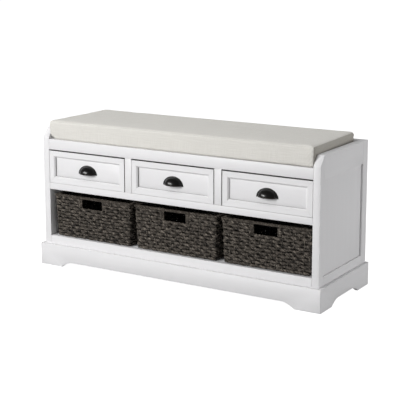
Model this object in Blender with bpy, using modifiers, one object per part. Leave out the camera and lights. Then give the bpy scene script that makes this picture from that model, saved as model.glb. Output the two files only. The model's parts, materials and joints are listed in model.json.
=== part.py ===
"""Entryway storage bench: a painted wooden case on a bracket-foot plinth, with three drawers under the
seat board, an open bay that holds three woven baskets, and a loose box cushion.

Metres, +Z up. X runs along the bench, the front faces -Y, and the origin is the middle of the
footprint on the floor. Run it with: blender --background --python part.py
"""

import math

import bmesh
import bpy
from mathutils import Vector

# Gap kept between two pieces that touch.
GAP = 0.0003

# Overall plan size, taken over the plinth.
OVERALL_WIDTH = 1.070
OVERALL_DEPTH = 0.360

# Heights, stacked from the floor up.
PLINTH_HEIGHT = 0.075
BOTTOM_RAIL_SHOWN = 0.028  # front rail seen between the plinth and the basket bay
BAY_HEIGHT = 0.1635
MIDDLE_RAIL_HEIGHT = 0.0225
DRAWER_OPENING_HEIGHT = 0.1155
TOP_RAIL_HEIGHT = 0.0355
END_RISE = 0.037  # the end frames and back rail stand this far above the seat board

# Plinth boards and the bracket feet cut into them.
PLINTH_THICKNESS = 0.012
FRONT_FOOT_LENGTH = 0.090
SIDE_FOOT_LENGTH = 0.083
CUTOUT_HEIGHT = 0.0185
FOOT_NIB = 0.002  # short upright step at the end of each foot, before its curve
FOOT_CURVE_RUN = 0.045
FOOT_CURVE_STEPS = 12

# End frames: two stiles, two rails and a thin panel held in grooves.
END_THICKNESS = 0.024
FRONT_STILE_WIDTH = 0.029
REAR_STILE_WIDTH = 0.036
END_RAIL_TUCK = 0.028  # the bottom rails run down behind the plinth by this much
END_PANEL_THICKNESS = 0.012
PANEL_GROOVE = 0.006
CORNER_DEPTH = 0.025  # the top front corner of each end frame is cut off at a slant
CORNER_HEIGHT = 0.031
CORNER_ROUNDING = 0.010  # radius where the slant meets the upright and the top
CORNER_STEPS = 5

# Boards and rails of the case.
RAIL_THICKNESS = 0.022
BOARD_THICKNESS = 0.015
BACK_RAIL_THICKNESS = 0.018
BACK_PANEL_THICKNESS = 0.006
BACK_PANEL_INSET = 0.004
DIVIDER_WIDTH = 0.026
PARTITION_THICKNESS = 0.020
FOOT_BLOCK_SIZE = 0.032

# Drawers.
DRAWER_COUNT = 3
DRAWER_SIDE_GAP = 0.002
DRAWER_TOP_GAP = 0.003
DRAWER_BOTTOM_GAP = 0.002
DRAWER_FRONT_THICKNESS = 0.018
MOULDING_WIDTH = 0.0235
MOULDING_FALL = 0.003  # the moulding's face falls back this far towards the panel
DRAWER_PANEL_RECESS = 0.008
DRAWER_PANEL_THICKNESS = 0.008
DRAWER_PANEL_LAP = 0.008  # the panel sits in a rebate this wide behind the moulding
DRAWER_BOX_SIDE_GAP = 0.003
DRAWER_BOX_HEIGHT = 0.085
DRAWER_BOX_REAR_SPACE = 0.045
DRAWER_BOARD_THICKNESS = 0.012
DRAWER_BOTTOM_THICKNESS = 0.004
DRAWER_BOTTOM_RAISE = 0.008
DRAWER_BOTTOM_GROOVE = 0.005

# Cup pulls, measured on the face that they are screwed to.
PULL_WIDTH = 0.076
PULL_HEIGHT = 0.031
PULL_PROJECTION = 0.0195
PULL_FLANGE = 0.004
PULL_FLANGE_THICKNESS = 0.0016
PULL_WALL = 0.0018
PULL_BOSS_RADIUS = 0.0035
PULL_BOSS_SPACING = 0.048
PULL_BOSS_RAISE = 0.009
PULL_BOSS_LENGTH = 0.0095
PULL_ARC_STEPS = 20

# Baskets. The row is pushed towards the right-hand end of the bay.
BASKET_COUNT = 3
BASKET_LEFT_GAP = 0.014
BASKET_RIGHT_GAP = 0.003
BASKET_SPACING = 0.0135
BASKET_FRONT_INSET = 0.003
BASKET_REAR_SPACE = 0.035
BASKET_TOP_SPACE = 0.0145
BASKET_TAPER = 0.005
BASKET_CORNER_RADIUS = 0.012
BASKET_CORNER_STEPS = 4
BASKET_WALL = 0.009
HAND_HOLE_WIDTH = 0.082
HAND_HOLE_HEIGHT = 0.031
HAND_HOLE_FROM_RIM = 0.0095
BASKET_WIRE = 0.004

# Cushion.
CUSHION_THICKNESS = 0.062
CUSHION_END_GAP = 0.004
CUSHION_FRONT_INSET = 0.003
CUSHION_REAR_GAP = 0.010
CUSHION_EDGE_RADIUS = 0.010

# Places worked out from the sizes above.
END_OUTER = OVERALL_WIDTH / 2 - PLINTH_THICKNESS
END_INNER = END_OUTER - END_THICKNESS
FRONT = -OVERALL_DEPTH / 2 + PLINTH_THICKNESS
BACK = OVERALL_DEPTH / 2
RAIL_BACK = FRONT + RAIL_THICKNESS
BACK_RAIL_FRONT = BACK - BACK_RAIL_THICKNESS
BACK_PANEL_FRONT = BACK - BACK_PANEL_INSET - BACK_PANEL_THICKNESS
SHELF_TOP = PLINTH_HEIGHT + BOTTOM_RAIL_SHOWN
BAY_TOP = SHELF_TOP + BAY_HEIGHT
DECK_TOP = BAY_TOP + MIDDLE_RAIL_HEIGHT
DRAWER_OPENING_TOP = DECK_TOP + DRAWER_OPENING_HEIGHT
SEAT_TOP = DRAWER_OPENING_TOP + TOP_RAIL_HEIGHT
END_TOP = SEAT_TOP + END_RISE
BOTTOM_RAIL_FOOT = PLINTH_HEIGHT - END_RAIL_TUCK
DRAWER_OPENING_WIDTH = (2 * END_INNER - (DRAWER_COUNT - 1) * DIVIDER_WIDTH) / DRAWER_COUNT
DRAWER_PITCH = DRAWER_OPENING_WIDTH + DIVIDER_WIDTH
DRAWER_ROW_START = -END_INNER + DRAWER_OPENING_WIDTH / 2
BASKET_WIDTH = (
    2 * END_INNER - BASKET_LEFT_GAP - BASKET_RIGHT_GAP - (BASKET_COUNT - 1) * BASKET_SPACING
) / BASKET_COUNT
BASKET_DEPTH = BACK_PANEL_FRONT - BASKET_REAR_SPACE - FRONT - BASKET_FRONT_INSET
BASKET_ROW_START = -END_INNER + BASKET_LEFT_GAP + BASKET_WIDTH / 2

SIDES = (("left", -1), ("right", 1))
ENDS = (("front", -1), ("rear", 1))
FACING_FRONT = (math.pi / 2, 0, 0)  # an outline's x and y become world X and Z
FACING_SIDE = (math.pi / 2, 0, math.pi / 2)  # an outline's x and y become world Y and Z


def clear_scene():
    for obj in list(bpy.data.objects):
        bpy.data.objects.remove(obj, do_unlink=True)


def new_collection(name):
    collection = bpy.data.collections.new(name)
    bpy.context.scene.collection.children.link(collection)
    return collection


def new_material(name, colour, roughness, metallic=0.0):
    material = bpy.data.materials.new(name)
    material.use_nodes = True
    shader = material.node_tree.nodes["Principled BSDF"]
    shader.inputs["Base Color"].default_value = (*colour, 1)
    shader.inputs["Roughness"].default_value = roughness
    shader.inputs["Metallic"].default_value = metallic
    return material


def new_parent(name, location):
    empty = bpy.data.objects.new(name, None)
    empty.empty_display_size = 0.05
    empty.location = location
    PARTS.objects.link(empty)
    return empty


def place(name, mesh, location, material, parent, rotation=(0, 0, 0)):
    """One piece of the bench. Its location is given in the world, and its parent is never turned."""
    mesh.materials.clear()
    mesh.materials.append(material)
    obj = bpy.data.objects.new(name, mesh)
    PARTS.objects.link(obj)
    obj.parent = parent
    obj.location = Vector(location) - parent.location
    obj.rotation_euler = rotation
    return obj


def box_mesh(name, size):
    mesh = bpy.data.meshes.new(name)
    bm = bmesh.new()
    bmesh.ops.create_cube(bm, size=1)
    bmesh.ops.scale(bm, vec=size, verts=bm.verts)
    bm.to_mesh(mesh)
    bm.free()
    return mesh


def size_and_middle(spans):
    size = Vector(high - low for low, high in spans)
    middle = Vector((high + low) / 2 for low, high in spans)
    return size, middle


def board(name, x, y, z, material, parent):
    """A square-edged board that fills the given world spans."""
    size, middle = size_and_middle((x, y, z))
    return place(name, box_mesh(name, size), middle, material, parent)


def side_span(sign, near, far):
    """The X span between two distances from the middle plane, on the side of this sign."""
    return tuple(sorted((sign * near, sign * far)))


def as_cutter(obj):
    for collection in list(obj.users_collection):
        collection.objects.unlink(obj)
    CUTTERS.objects.link(obj)
    obj.hide_render = True
    obj.display_type = "WIRE"
    return obj


def box_cutter(name, x, y, z):
    size, middle = size_and_middle((x, y, z))
    obj = bpy.data.objects.new(name, box_mesh(name, size))
    CUTTERS.objects.link(obj)
    obj.location = middle
    return as_cutter(obj)


def boolean(piece, other, operation="DIFFERENCE"):
    modifier = piece.modifiers.new(f"{operation.lower()} {other.name}", "BOOLEAN")
    modifier.operation = operation
    modifier.solver = "EXACT"
    modifier.object = other


def grown(span, by):
    return span[0] - by, span[1] + by


def outline_mesh(name, outlines, thickness):
    """A flat plate from closed outlines in its own XY plane, its thickness shared about that plane.

    A second outline inside the first makes a hole.
    """
    curve = bpy.data.curves.new(name, "CURVE")
    curve.dimensions = "2D"
    curve.fill_mode = "BOTH"
    curve.extrude = thickness / 2
    for outline in outlines:
        spline = curve.splines.new("POLY")
        spline.points.add(len(outline) - 1)
        for point, (x, y) in zip(spline.points, outline):
            point.co = (x, y, 0, 1)
        spline.use_cyclic_u = True
    maker = bpy.data.objects.new(f"{name} outline", curve)
    CUTTERS.objects.link(maker)
    maker.hide_render = True
    graph = bpy.context.evaluated_depsgraph_get()
    mesh = bpy.data.meshes.new_from_object(maker.evaluated_get(graph))
    bpy.data.objects.remove(maker, do_unlink=True)
    bm = bmesh.new()
    bm.from_mesh(mesh)
    bmesh.ops.remove_doubles(bm, verts=bm.verts, dist=1e-6)
    bmesh.ops.recalc_face_normals(bm, faces=bm.faces)
    bm.to_mesh(mesh)
    bm.free()
    mesh.name = name
    return mesh


def round_smoothly(mesh, angle=40):
    mesh.shade_smooth()
    mesh.set_sharp_from_angle(angle=math.radians(angle))


# ---------------------------------------------------------------- plinth


def foot_end(start, direction):
    """The end of one foot, from the floor up to the cut-out's flat top: a nib, then a quarter sine."""
    rise = CUTOUT_HEIGHT - FOOT_NIB
    points = [(start, 0)]
    for step in range(FOOT_CURVE_STEPS + 1):
        share = step / FOOT_CURVE_STEPS
        along = start + direction * FOOT_CURVE_RUN * share
        points.append((along, FOOT_NIB + rise * math.sin(math.pi / 2 * share)))
    return points


def plinth_outline(half_length, foot_length):
    left_foot = [(-half_length, 0)] + foot_end(-half_length + foot_length, 1)
    right_foot = [(-x, z) for x, z in reversed(left_foot)]
    top = [(half_length, PLINTH_HEIGHT), (-half_length, PLINTH_HEIGHT)]
    return left_foot + right_foot + top


def mitre(mesh, half_length, ends, inner, setback=0.0):
    """Slants a plinth board's ends at 45 degrees. inner is the sign of the local Z that faces in."""
    for vertex in mesh.vertices:
        for end in ends:
            if abs(vertex.co.x - end * half_length) > 1e-5:
                continue
            slant = PLINTH_THICKNESS if vertex.co.z * inner > 0 else 0.0
            vertex.co.x -= end * (slant + setback)
            break


def add_plinth(material, parent):
    half_width = OVERALL_WIDTH / 2
    half_depth = OVERALL_DEPTH / 2
    thickness = PLINTH_THICKNESS - GAP
    front = outline_mesh("plinth_front", [plinth_outline(half_width, FRONT_FOOT_LENGTH)], thickness)
    mitre(front, half_width, (-1, 1), inner=-1)
    place(
        "plinth_front",
        front,
        (0, -half_depth + thickness / 2, 0),
        material,
        parent,
        FACING_FRONT,
    )
    for side, sign in SIDES:
        name = f"plinth_{side}"
        mesh = outline_mesh(name, [plinth_outline(half_depth, SIDE_FOOT_LENGTH)], thickness)
        mitre(mesh, half_depth, (-1,), inner=-sign, setback=2 * GAP)
        middle = (sign * (half_width - thickness / 2), 0, 0)
        place(name, mesh, middle, material, parent, FACING_SIDE)


# ---------------------------------------------------------------- end frames


def rounded_off(before, corner, after):
    """Points of the arc that rounds one corner of an outline."""
    corner = Vector(corner)
    arms = [(Vector(point) - corner).normalized() for point in (before, after)]
    half_turn = (math.pi - arms[0].angle(arms[1])) / 2
    middle = corner + (arms[0] + arms[1]).normalized() * CORNER_ROUNDING / math.cos(half_turn)
    reach = CORNER_ROUNDING * math.tan(half_turn)
    first, last = [corner + arm * reach - middle for arm in arms]
    points = []
    for step in range(CORNER_STEPS + 1):
        spoke = first.lerp(last, step / CORNER_STEPS).normalized() * CORNER_ROUNDING
        points.append(tuple(middle + spoke))
    return points


def front_stile_outline():
    """Side view of a front stile: square at the floor, its top front corner cut at a slant."""
    rear = FRONT + FRONT_STILE_WIDTH - GAP
    upper = (FRONT + min(CORNER_DEPTH, FRONT_STILE_WIDTH - 0.004), END_TOP)
    lower = (FRONT, END_TOP - CORNER_HEIGHT)
    points = [(FRONT, 0), (rear, 0), (rear, END_TOP)]
    points += rounded_off((rear, END_TOP), upper, lower)
    points += rounded_off(upper, lower, (FRONT, 0))
    return points


def add_end_frame(side, sign, material, parent):
    thickness = (sign * END_INNER, sign * END_OUTER)
    x = tuple(sorted(thickness))
    middle_x = sum(x) / 2
    rail_y = (FRONT + FRONT_STILE_WIDTH, BACK - REAR_STILE_WIDTH)
    stile = outline_mesh(f"{side}_front_stile", [front_stile_outline()], END_THICKNESS)
    pieces = [
        place(f"{side}_front_stile", stile, (middle_x, 0, 0), material, parent, FACING_SIDE),
        board(f"{side}_rear_stile", x, (rail_y[1] + GAP, BACK), (0, END_TOP), material, parent),
        board(f"{side}_top_rail", x, rail_y, (DRAWER_OPENING_TOP, END_TOP), material, parent),
        board(f"{side}_bottom_rail", x, rail_y, (BOTTOM_RAIL_FOOT, SHELF_TOP), material, parent),
    ]
    panel_x = (middle_x - END_PANEL_THICKNESS / 2, middle_x + END_PANEL_THICKNESS / 2)
    panel_y = grown(rail_y, PANEL_GROOVE)
    panel_z = grown((SHELF_TOP, DRAWER_OPENING_TOP), PANEL_GROOVE)
    board(f"{side}_side_panel", panel_x, panel_y, panel_z, material, parent)
    spans = [grown(span, GAP) for span in (panel_x, panel_y, panel_z)]
    groove = box_cutter(f"{side} panel groove", *spans)
    for piece in pieces:
        boolean(piece, groove)


# ---------------------------------------------------------------- case


def add_case(material, hardboard, parent):
    """Rails, boards and panels between the two end frames."""
    inside = (-END_INNER + GAP, END_INNER - GAP)
    rail_y = (FRONT, RAIL_BACK)
    behind_rail = RAIL_BACK + GAP
    to_back_panel = (behind_rail, BACK_PANEL_FRONT - GAP)
    board("front_top_rail", inside, rail_y, (DRAWER_OPENING_TOP, SEAT_TOP), material, parent)
    board("front_middle_rail", inside, rail_y, (BAY_TOP, DECK_TOP), material, parent)
    board("front_bottom_rail", inside, rail_y, (BOTTOM_RAIL_FOOT, SHELF_TOP), material, parent)
    board(
        "seat_board",
        inside,
        (behind_rail, BACK_RAIL_FRONT - GAP),
        (SEAT_TOP - BOARD_THICKNESS, SEAT_TOP),
        material,
        parent,
    )
    board(
        "drawer_deck", inside, to_back_panel, (DECK_TOP - BOARD_THICKNESS, DECK_TOP), material, parent
    )
    board(
        "bottom_shelf", inside, to_back_panel, (SHELF_TOP - BOARD_THICKNESS, SHELF_TOP), material, parent
    )
    board(
        "back_top_rail",
        inside,
        (BACK_RAIL_FRONT, BACK),
        (DRAWER_OPENING_TOP, END_TOP),
        material,
        parent,
    )
    board(
        "back_bottom_rail",
        inside,
        (BACK_RAIL_FRONT, BACK),
        (CUTOUT_HEIGHT, SHELF_TOP - BOARD_THICKNESS - GAP),
        material,
        parent,
    )
    board(
        "back_panel",
        inside,
        (BACK_PANEL_FRONT, BACK_PANEL_FRONT + BACK_PANEL_THICKNESS),
        (SHELF_TOP - BOARD_THICKNESS, DRAWER_OPENING_TOP - GAP),
        hardboard,
        parent,
    )
    between_decks = (DECK_TOP + GAP, DRAWER_OPENING_TOP - GAP)
    for number in range(1, DRAWER_COUNT):
        middle = -END_INNER + number * DRAWER_PITCH - DIVIDER_WIDTH / 2
        face_x = (middle - DIVIDER_WIDTH / 2, middle + DIVIDER_WIDTH / 2)
        board(f"drawer_divider_{number}", face_x, rail_y, between_decks, material, parent)
        wall_x = (middle - PARTITION_THICKNESS / 2, middle + PARTITION_THICKNESS / 2)
        board(
            f"drawer_partition_{number}",
            wall_x,
            (behind_rail, BACK_RAIL_FRONT - GAP),
            (DECK_TOP + GAP, SEAT_TOP - BOARD_THICKNESS - GAP),
            material,
            parent,
        )
    for end, direction in ENDS:
        for side, sign in SIDES:
            outer_y = RAIL_BACK + GAP if direction < 0 else BACK_RAIL_FRONT - GAP
            y = tuple(sorted((outer_y, outer_y - direction * FOOT_BLOCK_SIZE)))
            x = side_span(sign, END_INNER - GAP - FOOT_BLOCK_SIZE, END_INNER - GAP)
            top = SHELF_TOP - BOARD_THICKNESS - GAP
            board(f"foot_block_{end}_{side}", x, y, (0, top), material, parent)


# ---------------------------------------------------------------- drawers


def moulding_mesh(name, width, height, fall):
    """A rectangular picture-frame moulding lying in X and Z, its face falling towards the opening."""
    mesh = box_mesh(name, (width, DRAWER_FRONT_THICKNESS, height))
    bm = bmesh.new()
    bm.from_mesh(mesh)
    face = min(bm.faces, key=lambda f: f.calc_center_median().y)
    bmesh.ops.inset_individual(bm, faces=[face], thickness=MOULDING_WIDTH, depth=0)
    for vertex in face.verts:
        vertex.co.y += fall
    bm.to_mesh(mesh)
    bm.free()
    return mesh


def add_drawer_front(name, middle, z, material, parent):
    width = DRAWER_OPENING_WIDTH - 2 * DRAWER_SIDE_GAP
    height = z[1] - z[0]
    rear = FRONT + DRAWER_FRONT_THICKNESS
    mesh = moulding_mesh(f"{name}_front_frame", width, height, MOULDING_FALL)
    middle_y = FRONT + DRAWER_FRONT_THICKNESS / 2
    frame = place(f"{name}_front_frame", mesh, (middle, middle_y, sum(z) / 2), material, parent)

    opening_x = (middle - width / 2 + MOULDING_WIDTH, middle + width / 2 - MOULDING_WIDTH)
    opening_z = (z[0] + MOULDING_WIDTH, z[1] - MOULDING_WIDTH)
    panel_front = FRONT + DRAWER_PANEL_RECESS
    boolean(frame, box_cutter(f"{name} opening", opening_x, grown((FRONT, rear), 0.01), opening_z))
    lap_x, lap_z = grown(opening_x, DRAWER_PANEL_LAP), grown(opening_z, DRAWER_PANEL_LAP)
    rebate_y = (panel_front, rear + 0.01)
    boolean(frame, box_cutter(f"{name} rebate", grown(lap_x, GAP), rebate_y, grown(lap_z, GAP)))
    panel_y = (panel_front + GAP, panel_front + DRAWER_PANEL_THICKNESS)
    board(f"{name}_front_panel", lap_x, panel_y, lap_z, material, parent)


def add_drawer_box(name, middle, bottom, wood, plywood, parent):
    half = DRAWER_OPENING_WIDTH / 2 - DRAWER_BOX_SIDE_GAP
    front = FRONT + DRAWER_FRONT_THICKNESS + GAP
    back = BACK_PANEL_FRONT - DRAWER_BOX_REAR_SPACE
    z = (bottom, bottom + DRAWER_BOX_HEIGHT)
    inner = half - DRAWER_BOARD_THICKNESS
    walls = []
    for side, sign in SIDES:
        span = sorted((middle + sign * half, middle + sign * inner))
        walls.append(board(f"{name}_{side}_side", span, (front, back), z, wood, parent))
    back_y = (back - DRAWER_BOARD_THICKNESS, back)
    back_x = (middle - inner + GAP, middle + inner - GAP)
    walls.append(board(f"{name}_back", back_x, back_y, z, wood, parent))

    base = bottom + DRAWER_BOTTOM_RAISE
    reach = inner + DRAWER_BOTTOM_GROOVE
    base_x = (middle - reach, middle + reach)
    base_y = (front, back_y[0] + DRAWER_BOTTOM_GROOVE)
    base_z = (base, base + DRAWER_BOTTOM_THICKNESS)
    board(f"{name}_bottom", base_x, base_y, base_z, plywood, parent)
    groove = box_cutter(
        f"{name} bottom groove",
        grown(base_x, GAP),
        (base_y[0] - 0.01, base_y[1] + GAP),
        grown(base_z, GAP),
    )
    for wall in walls:
        boolean(wall, groove)


# ---------------------------------------------------------------- cup pulls


def pull_dome_mesh(name):
    """A quarter of an ellipsoid, open below and behind: X across, -Y out of the drawer, Z up."""
    mesh = bpy.data.meshes.new(name)
    bm = bmesh.new()
    bmesh.ops.create_uvsphere(bm, u_segments=2 * PULL_ARC_STEPS, v_segments=14, radius=1)
    for normal in ((0, 1, 0), (0, 0, -1)):
        geometry = bm.verts[:] + bm.edges[:] + bm.faces[:]
        bmesh.ops.bisect_plane(
            bm, geom=geometry, plane_co=(0, 0, 0), plane_no=normal, clear_outer=True, dist=1e-5
        )
    size = (PULL_WIDTH / 2 - PULL_FLANGE, PULL_PROJECTION, PULL_HEIGHT - PULL_FLANGE)
    bmesh.ops.scale(bm, vec=size, verts=bm.verts)
    bmesh.ops.recalc_face_normals(bm, faces=bm.faces)
    if sum((f.normal.dot(f.calc_center_median()) for f in bm.faces)) < 0:
        bmesh.ops.reverse_faces(bm, faces=bm.faces)
    bm.to_mesh(mesh)
    bm.free()
    return mesh


def arch(half_width, height, steps):
    """Half an ellipse from the right foot over the top to the left foot."""
    turns = [math.pi * step / steps for step in range(steps + 1)]
    return [(half_width * math.cos(turn), height * math.sin(turn)) for turn in turns]


def add_pull(name, middle, z, material, parent):
    """A bin pull cast in one piece: a dome, the flange round it and two bosses for its screws."""
    seat = FRONT + DRAWER_PANEL_RECESS
    dome = place(name, pull_dome_mesh(name), (middle, seat, z), material, parent)
    wall = dome.modifiers.new("wall", "SOLIDIFY")
    wall.thickness = PULL_WALL
    wall.offset = -1
    wall.use_even_offset = True

    half = PULL_WIDTH / 2
    inside_half = half - PULL_FLANGE - PULL_WALL * 0.6
    inside_height = PULL_HEIGHT - PULL_FLANGE - PULL_WALL * 0.6
    outer = arch(half, PULL_HEIGHT, PULL_ARC_STEPS)
    inner = arch(inside_half, inside_height, PULL_ARC_STEPS)
    flange_mesh = outline_mesh(f"{name} flange", [outer + inner[::-1]], PULL_FLANGE_THICKNESS)
    flange_y = seat - PULL_FLANGE_THICKNESS / 2
    flange = place(f"{name} flange", flange_mesh, (middle, flange_y, z), material, parent, FACING_FRONT)
    boolean(dome, as_cutter(flange), "UNION")

    for side, sign in SIDES:
        mesh = bpy.data.meshes.new(f"{name} boss {side}")
        bm = bmesh.new()
        bmesh.ops.create_cone(
            bm,
            cap_ends=True,
            segments=12,
            radius1=PULL_BOSS_RADIUS,
            radius2=PULL_BOSS_RADIUS,
            depth=PULL_BOSS_LENGTH,
        )
        bm.to_mesh(mesh)
        bm.free()
        place_at = (
            middle + sign * PULL_BOSS_SPACING / 2,
            seat - PULL_BOSS_LENGTH / 2,
            z + PULL_BOSS_RAISE,
        )
        boss = place(f"{name} boss {side}", mesh, place_at, material, parent, FACING_FRONT)
        boolean(dome, as_cutter(boss), "UNION")
    round_smoothly(dome.data)
    return dome


def add_drawer(number, materials):
    name = f"drawer_{number}"
    middle = DRAWER_ROW_START + (number - 1) * DRAWER_PITCH
    parent = new_parent(f"{name} slide", (middle, FRONT, DECK_TOP))
    front_z = (DECK_TOP + DRAWER_BOTTOM_GAP, DRAWER_OPENING_TOP - DRAWER_TOP_GAP)
    add_drawer_front(name, middle, front_z, materials["paint"], parent)
    add_drawer_box(name, middle, DECK_TOP + GAP, materials["paint"], materials["plywood"], parent)
    pull_z = sum(front_z) / 2 - PULL_HEIGHT / 2
    add_pull(f"{name}_cup_pull", middle, pull_z, materials["pull"], parent)


# ---------------------------------------------------------------- baskets


def tapered_box(name, inset, height, corner, corner_steps):
    """A box about the origin at its foot, narrower below by the basket's taper."""
    mesh = bpy.data.meshes.new(name)
    top = Vector((BASKET_WIDTH - 2 * inset, BASKET_DEPTH - 2 * inset, 0))
    bm = bmesh.new()
    bmesh.ops.create_cube(bm, size=1)
    for vertex in bm.verts:
        above = vertex.co.z > 0
        taper = 0 if above else 2 * BASKET_TAPER
        vertex.co.x *= top.x - taper
        vertex.co.y *= top.y - taper
        vertex.co.z = height if above else 0
    upright = [e for e in bm.edges if abs(e.verts[0].co.z - e.verts[1].co.z) > height / 2]
    if corner_steps:
        bmesh.ops.bevel(
            bm, geom=upright, offset=corner, segments=corner_steps, profile=0.5, affect="EDGES"
        )
    bm.to_mesh(mesh)
    bm.free()
    return mesh


def add_basket(number, materials):
    name = f"basket_{number}"
    middle = BASKET_ROW_START + (number - 1) * (BASKET_WIDTH + BASKET_SPACING)
    front = FRONT + BASKET_FRONT_INSET
    middle_y = front + BASKET_DEPTH / 2
    bottom = SHELF_TOP + GAP
    height = BAY_HEIGHT - BASKET_TOP_SPACE
    parent = new_parent(f"{name} slide", (middle, middle_y, bottom))

    mesh = tapered_box(name, 0, height, BASKET_CORNER_RADIUS, BASKET_CORNER_STEPS)
    bm = bmesh.new()
    bm.from_mesh(mesh)
    lid = max(bm.faces, key=lambda f: f.calc_center_median().z)
    bmesh.ops.delete(bm, geom=[lid], context="FACES_ONLY")
    bm.to_mesh(mesh)
    bm.free()
    round_smoothly(mesh)
    shell = place(f"{name}_woven_shell", mesh, (middle, middle_y, bottom), materials["weave"], parent)
    wall = shell.modifiers.new("wall", "SOLIDIFY")
    wall.thickness = BASKET_WALL
    wall.offset = -1
    wall.use_even_offset = True
    hole_top = bottom + height - HAND_HOLE_FROM_RIM
    hole = box_cutter(
        f"{name} hand hole",
        (middle - HAND_HOLE_WIDTH / 2, middle + HAND_HOLE_WIDTH / 2),
        (front - 0.01, front + BASKET_WALL + BASKET_TAPER + 0.01),
        (hole_top - HAND_HOLE_HEIGHT, hole_top),
    )
    boolean(shell, hole)

    clear_of_corner = (BASKET_CORNER_RADIUS - BASKET_WALL) * (1 - math.sqrt(0.5))
    inset = BASKET_WALL + BASKET_WIRE / 2 + clear_of_corner + 2 * GAP
    floor = BASKET_WALL + BASKET_WIRE / 2 + GAP
    wire_top = height - BASKET_WIRE
    cage = tapered_box(f"{name} cage", inset, wire_top - floor, 0, 0)
    wires = place(
        f"{name}_wire_frame", cage, (middle, middle_y, bottom + floor), materials["wire"], parent
    )
    strut = wires.modifiers.new("wires", "WIREFRAME")
    strut.thickness = BASKET_WIRE
    strut.use_even_offset = True
    strut.use_replace = True


# ---------------------------------------------------------------- cushion


def add_cushion(material):
    x = (-END_INNER + CUSHION_END_GAP, END_INNER - CUSHION_END_GAP)
    y = (FRONT + CUSHION_FRONT_INSET, BACK_RAIL_FRONT - CUSHION_REAR_GAP)
    z = (SEAT_TOP + GAP, SEAT_TOP + GAP + CUSHION_THICKNESS)
    parent = new_parent("cushion lift", (0, 0, SEAT_TOP))
    cushion = board("seat_cushion", x, y, z, material, parent)
    edges = cushion.modifiers.new("soft edges", "BEVEL")
    edges.width = CUSHION_EDGE_RADIUS
    edges.segments = 2


clear_scene()
PARTS = new_collection("storage bench")
CUTTERS = new_collection("cutters")
MATERIALS = {
    "paint": new_material("white paint", (0.80, 0.80, 0.81), 0.38),
    "hardboard": new_material("white hardboard", (0.74, 0.74, 0.74), 0.60),
    "plywood": new_material("drawer plywood", (0.58, 0.44, 0.29), 0.65),
    "pull": new_material("dark bronze", (0.020, 0.018, 0.016), 0.32, 1.0),
    "weave": new_material("dark woven rope", (0.050, 0.040, 0.032), 0.75),
    "wire": new_material("black wire", (0.015, 0.015, 0.015), 0.45, 0.6),
    "linen": new_material("pale linen", (0.62, 0.60, 0.56), 0.90),
}
CASE = new_parent("case", (0, 0, 0))
add_plinth(MATERIALS["paint"], CASE)
for side_name, side_sign in SIDES:
    add_end_frame(side_name, side_sign, MATERIALS["paint"], CASE)
add_case(MATERIALS["paint"], MATERIALS["hardboard"], CASE)
for drawer_number in range(1, DRAWER_COUNT + 1):
    add_drawer(drawer_number, MATERIALS)
for basket_number in range(1, BASKET_COUNT + 1):
    add_basket(basket_number, MATERIALS)
add_cushion(MATERIALS["linen"])
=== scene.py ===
# %% [markdown]
# # An entryway storage bench
# A painted wooden bench for a hall: a case on a bracket-foot plinth, three drawers with dark cup pulls,
# an open bay with three baskets woven from dark twisted rope, and a loose box cushion in pale linen.
# The solid model is already packed as a fixed frame in metres. Each step below takes one family of its
# pieces, says what it is made of, and puts a finished surface or a detailed shape where the frame has a
# plain one. Nothing in the frame is moved, so every new piece takes its place from the frame's own boxes.

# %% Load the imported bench
import json
import math
import random

import bmesh
import bpy
import numpy as np
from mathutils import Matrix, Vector

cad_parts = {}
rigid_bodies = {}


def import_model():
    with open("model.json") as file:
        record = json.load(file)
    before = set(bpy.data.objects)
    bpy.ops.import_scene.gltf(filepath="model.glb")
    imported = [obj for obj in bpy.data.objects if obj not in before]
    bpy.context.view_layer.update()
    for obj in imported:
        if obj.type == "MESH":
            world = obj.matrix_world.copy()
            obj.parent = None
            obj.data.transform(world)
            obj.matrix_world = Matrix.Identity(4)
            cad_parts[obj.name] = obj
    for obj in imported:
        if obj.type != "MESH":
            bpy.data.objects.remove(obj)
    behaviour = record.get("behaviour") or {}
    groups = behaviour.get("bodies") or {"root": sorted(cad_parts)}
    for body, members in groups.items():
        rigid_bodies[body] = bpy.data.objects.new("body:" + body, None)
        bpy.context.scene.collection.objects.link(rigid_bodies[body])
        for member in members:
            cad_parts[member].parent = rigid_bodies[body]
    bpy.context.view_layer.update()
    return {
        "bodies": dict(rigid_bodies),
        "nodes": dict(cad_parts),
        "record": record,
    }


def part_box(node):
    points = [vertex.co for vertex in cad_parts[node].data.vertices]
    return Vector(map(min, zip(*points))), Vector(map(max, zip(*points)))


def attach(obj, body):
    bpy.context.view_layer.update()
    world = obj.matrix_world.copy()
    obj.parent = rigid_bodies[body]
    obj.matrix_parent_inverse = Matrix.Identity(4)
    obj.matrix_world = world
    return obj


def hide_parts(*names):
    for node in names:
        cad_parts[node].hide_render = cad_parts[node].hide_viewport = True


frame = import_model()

MM = 0.001

# %% [markdown]
# ## Camera, light and floor
# The bench is seen from its right front corner, a little from above, through a long lens, so its upright
# edges stay almost parallel. A small vertical shift keeps the eye level low without cropping the feet.
# The light is a white studio: one broad soft panel at the front left lights the drawer fronts, a weaker
# one far round to the right fills the end without reaching into the bay, and one hangs overhead. A low
# card at the left shows only as the highlight in the dark pulls. The sky looks white but lends only part
# of its light, so gaps stay dark. A Light Path node in the world does that, which is simpler than
# building white walls round the bench, and the floor is treated the same way.

# %% Camera
def place_piece(name, data):
    """A new object in the scene that shows a mesh, or carries a camera or a light."""
    piece = bpy.data.objects.new(name, data)
    bpy.context.scene.collection.objects.link(piece)
    return piece


EYE = Vector((1.899, -3.077, 1.072))
EYE_TILT = math.radians(90 - 9.96)
EYE_TURN = math.radians(31.23)
LENS = 96.1
SENSOR = 36
EYE_SHIFT = -0.15

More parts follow.
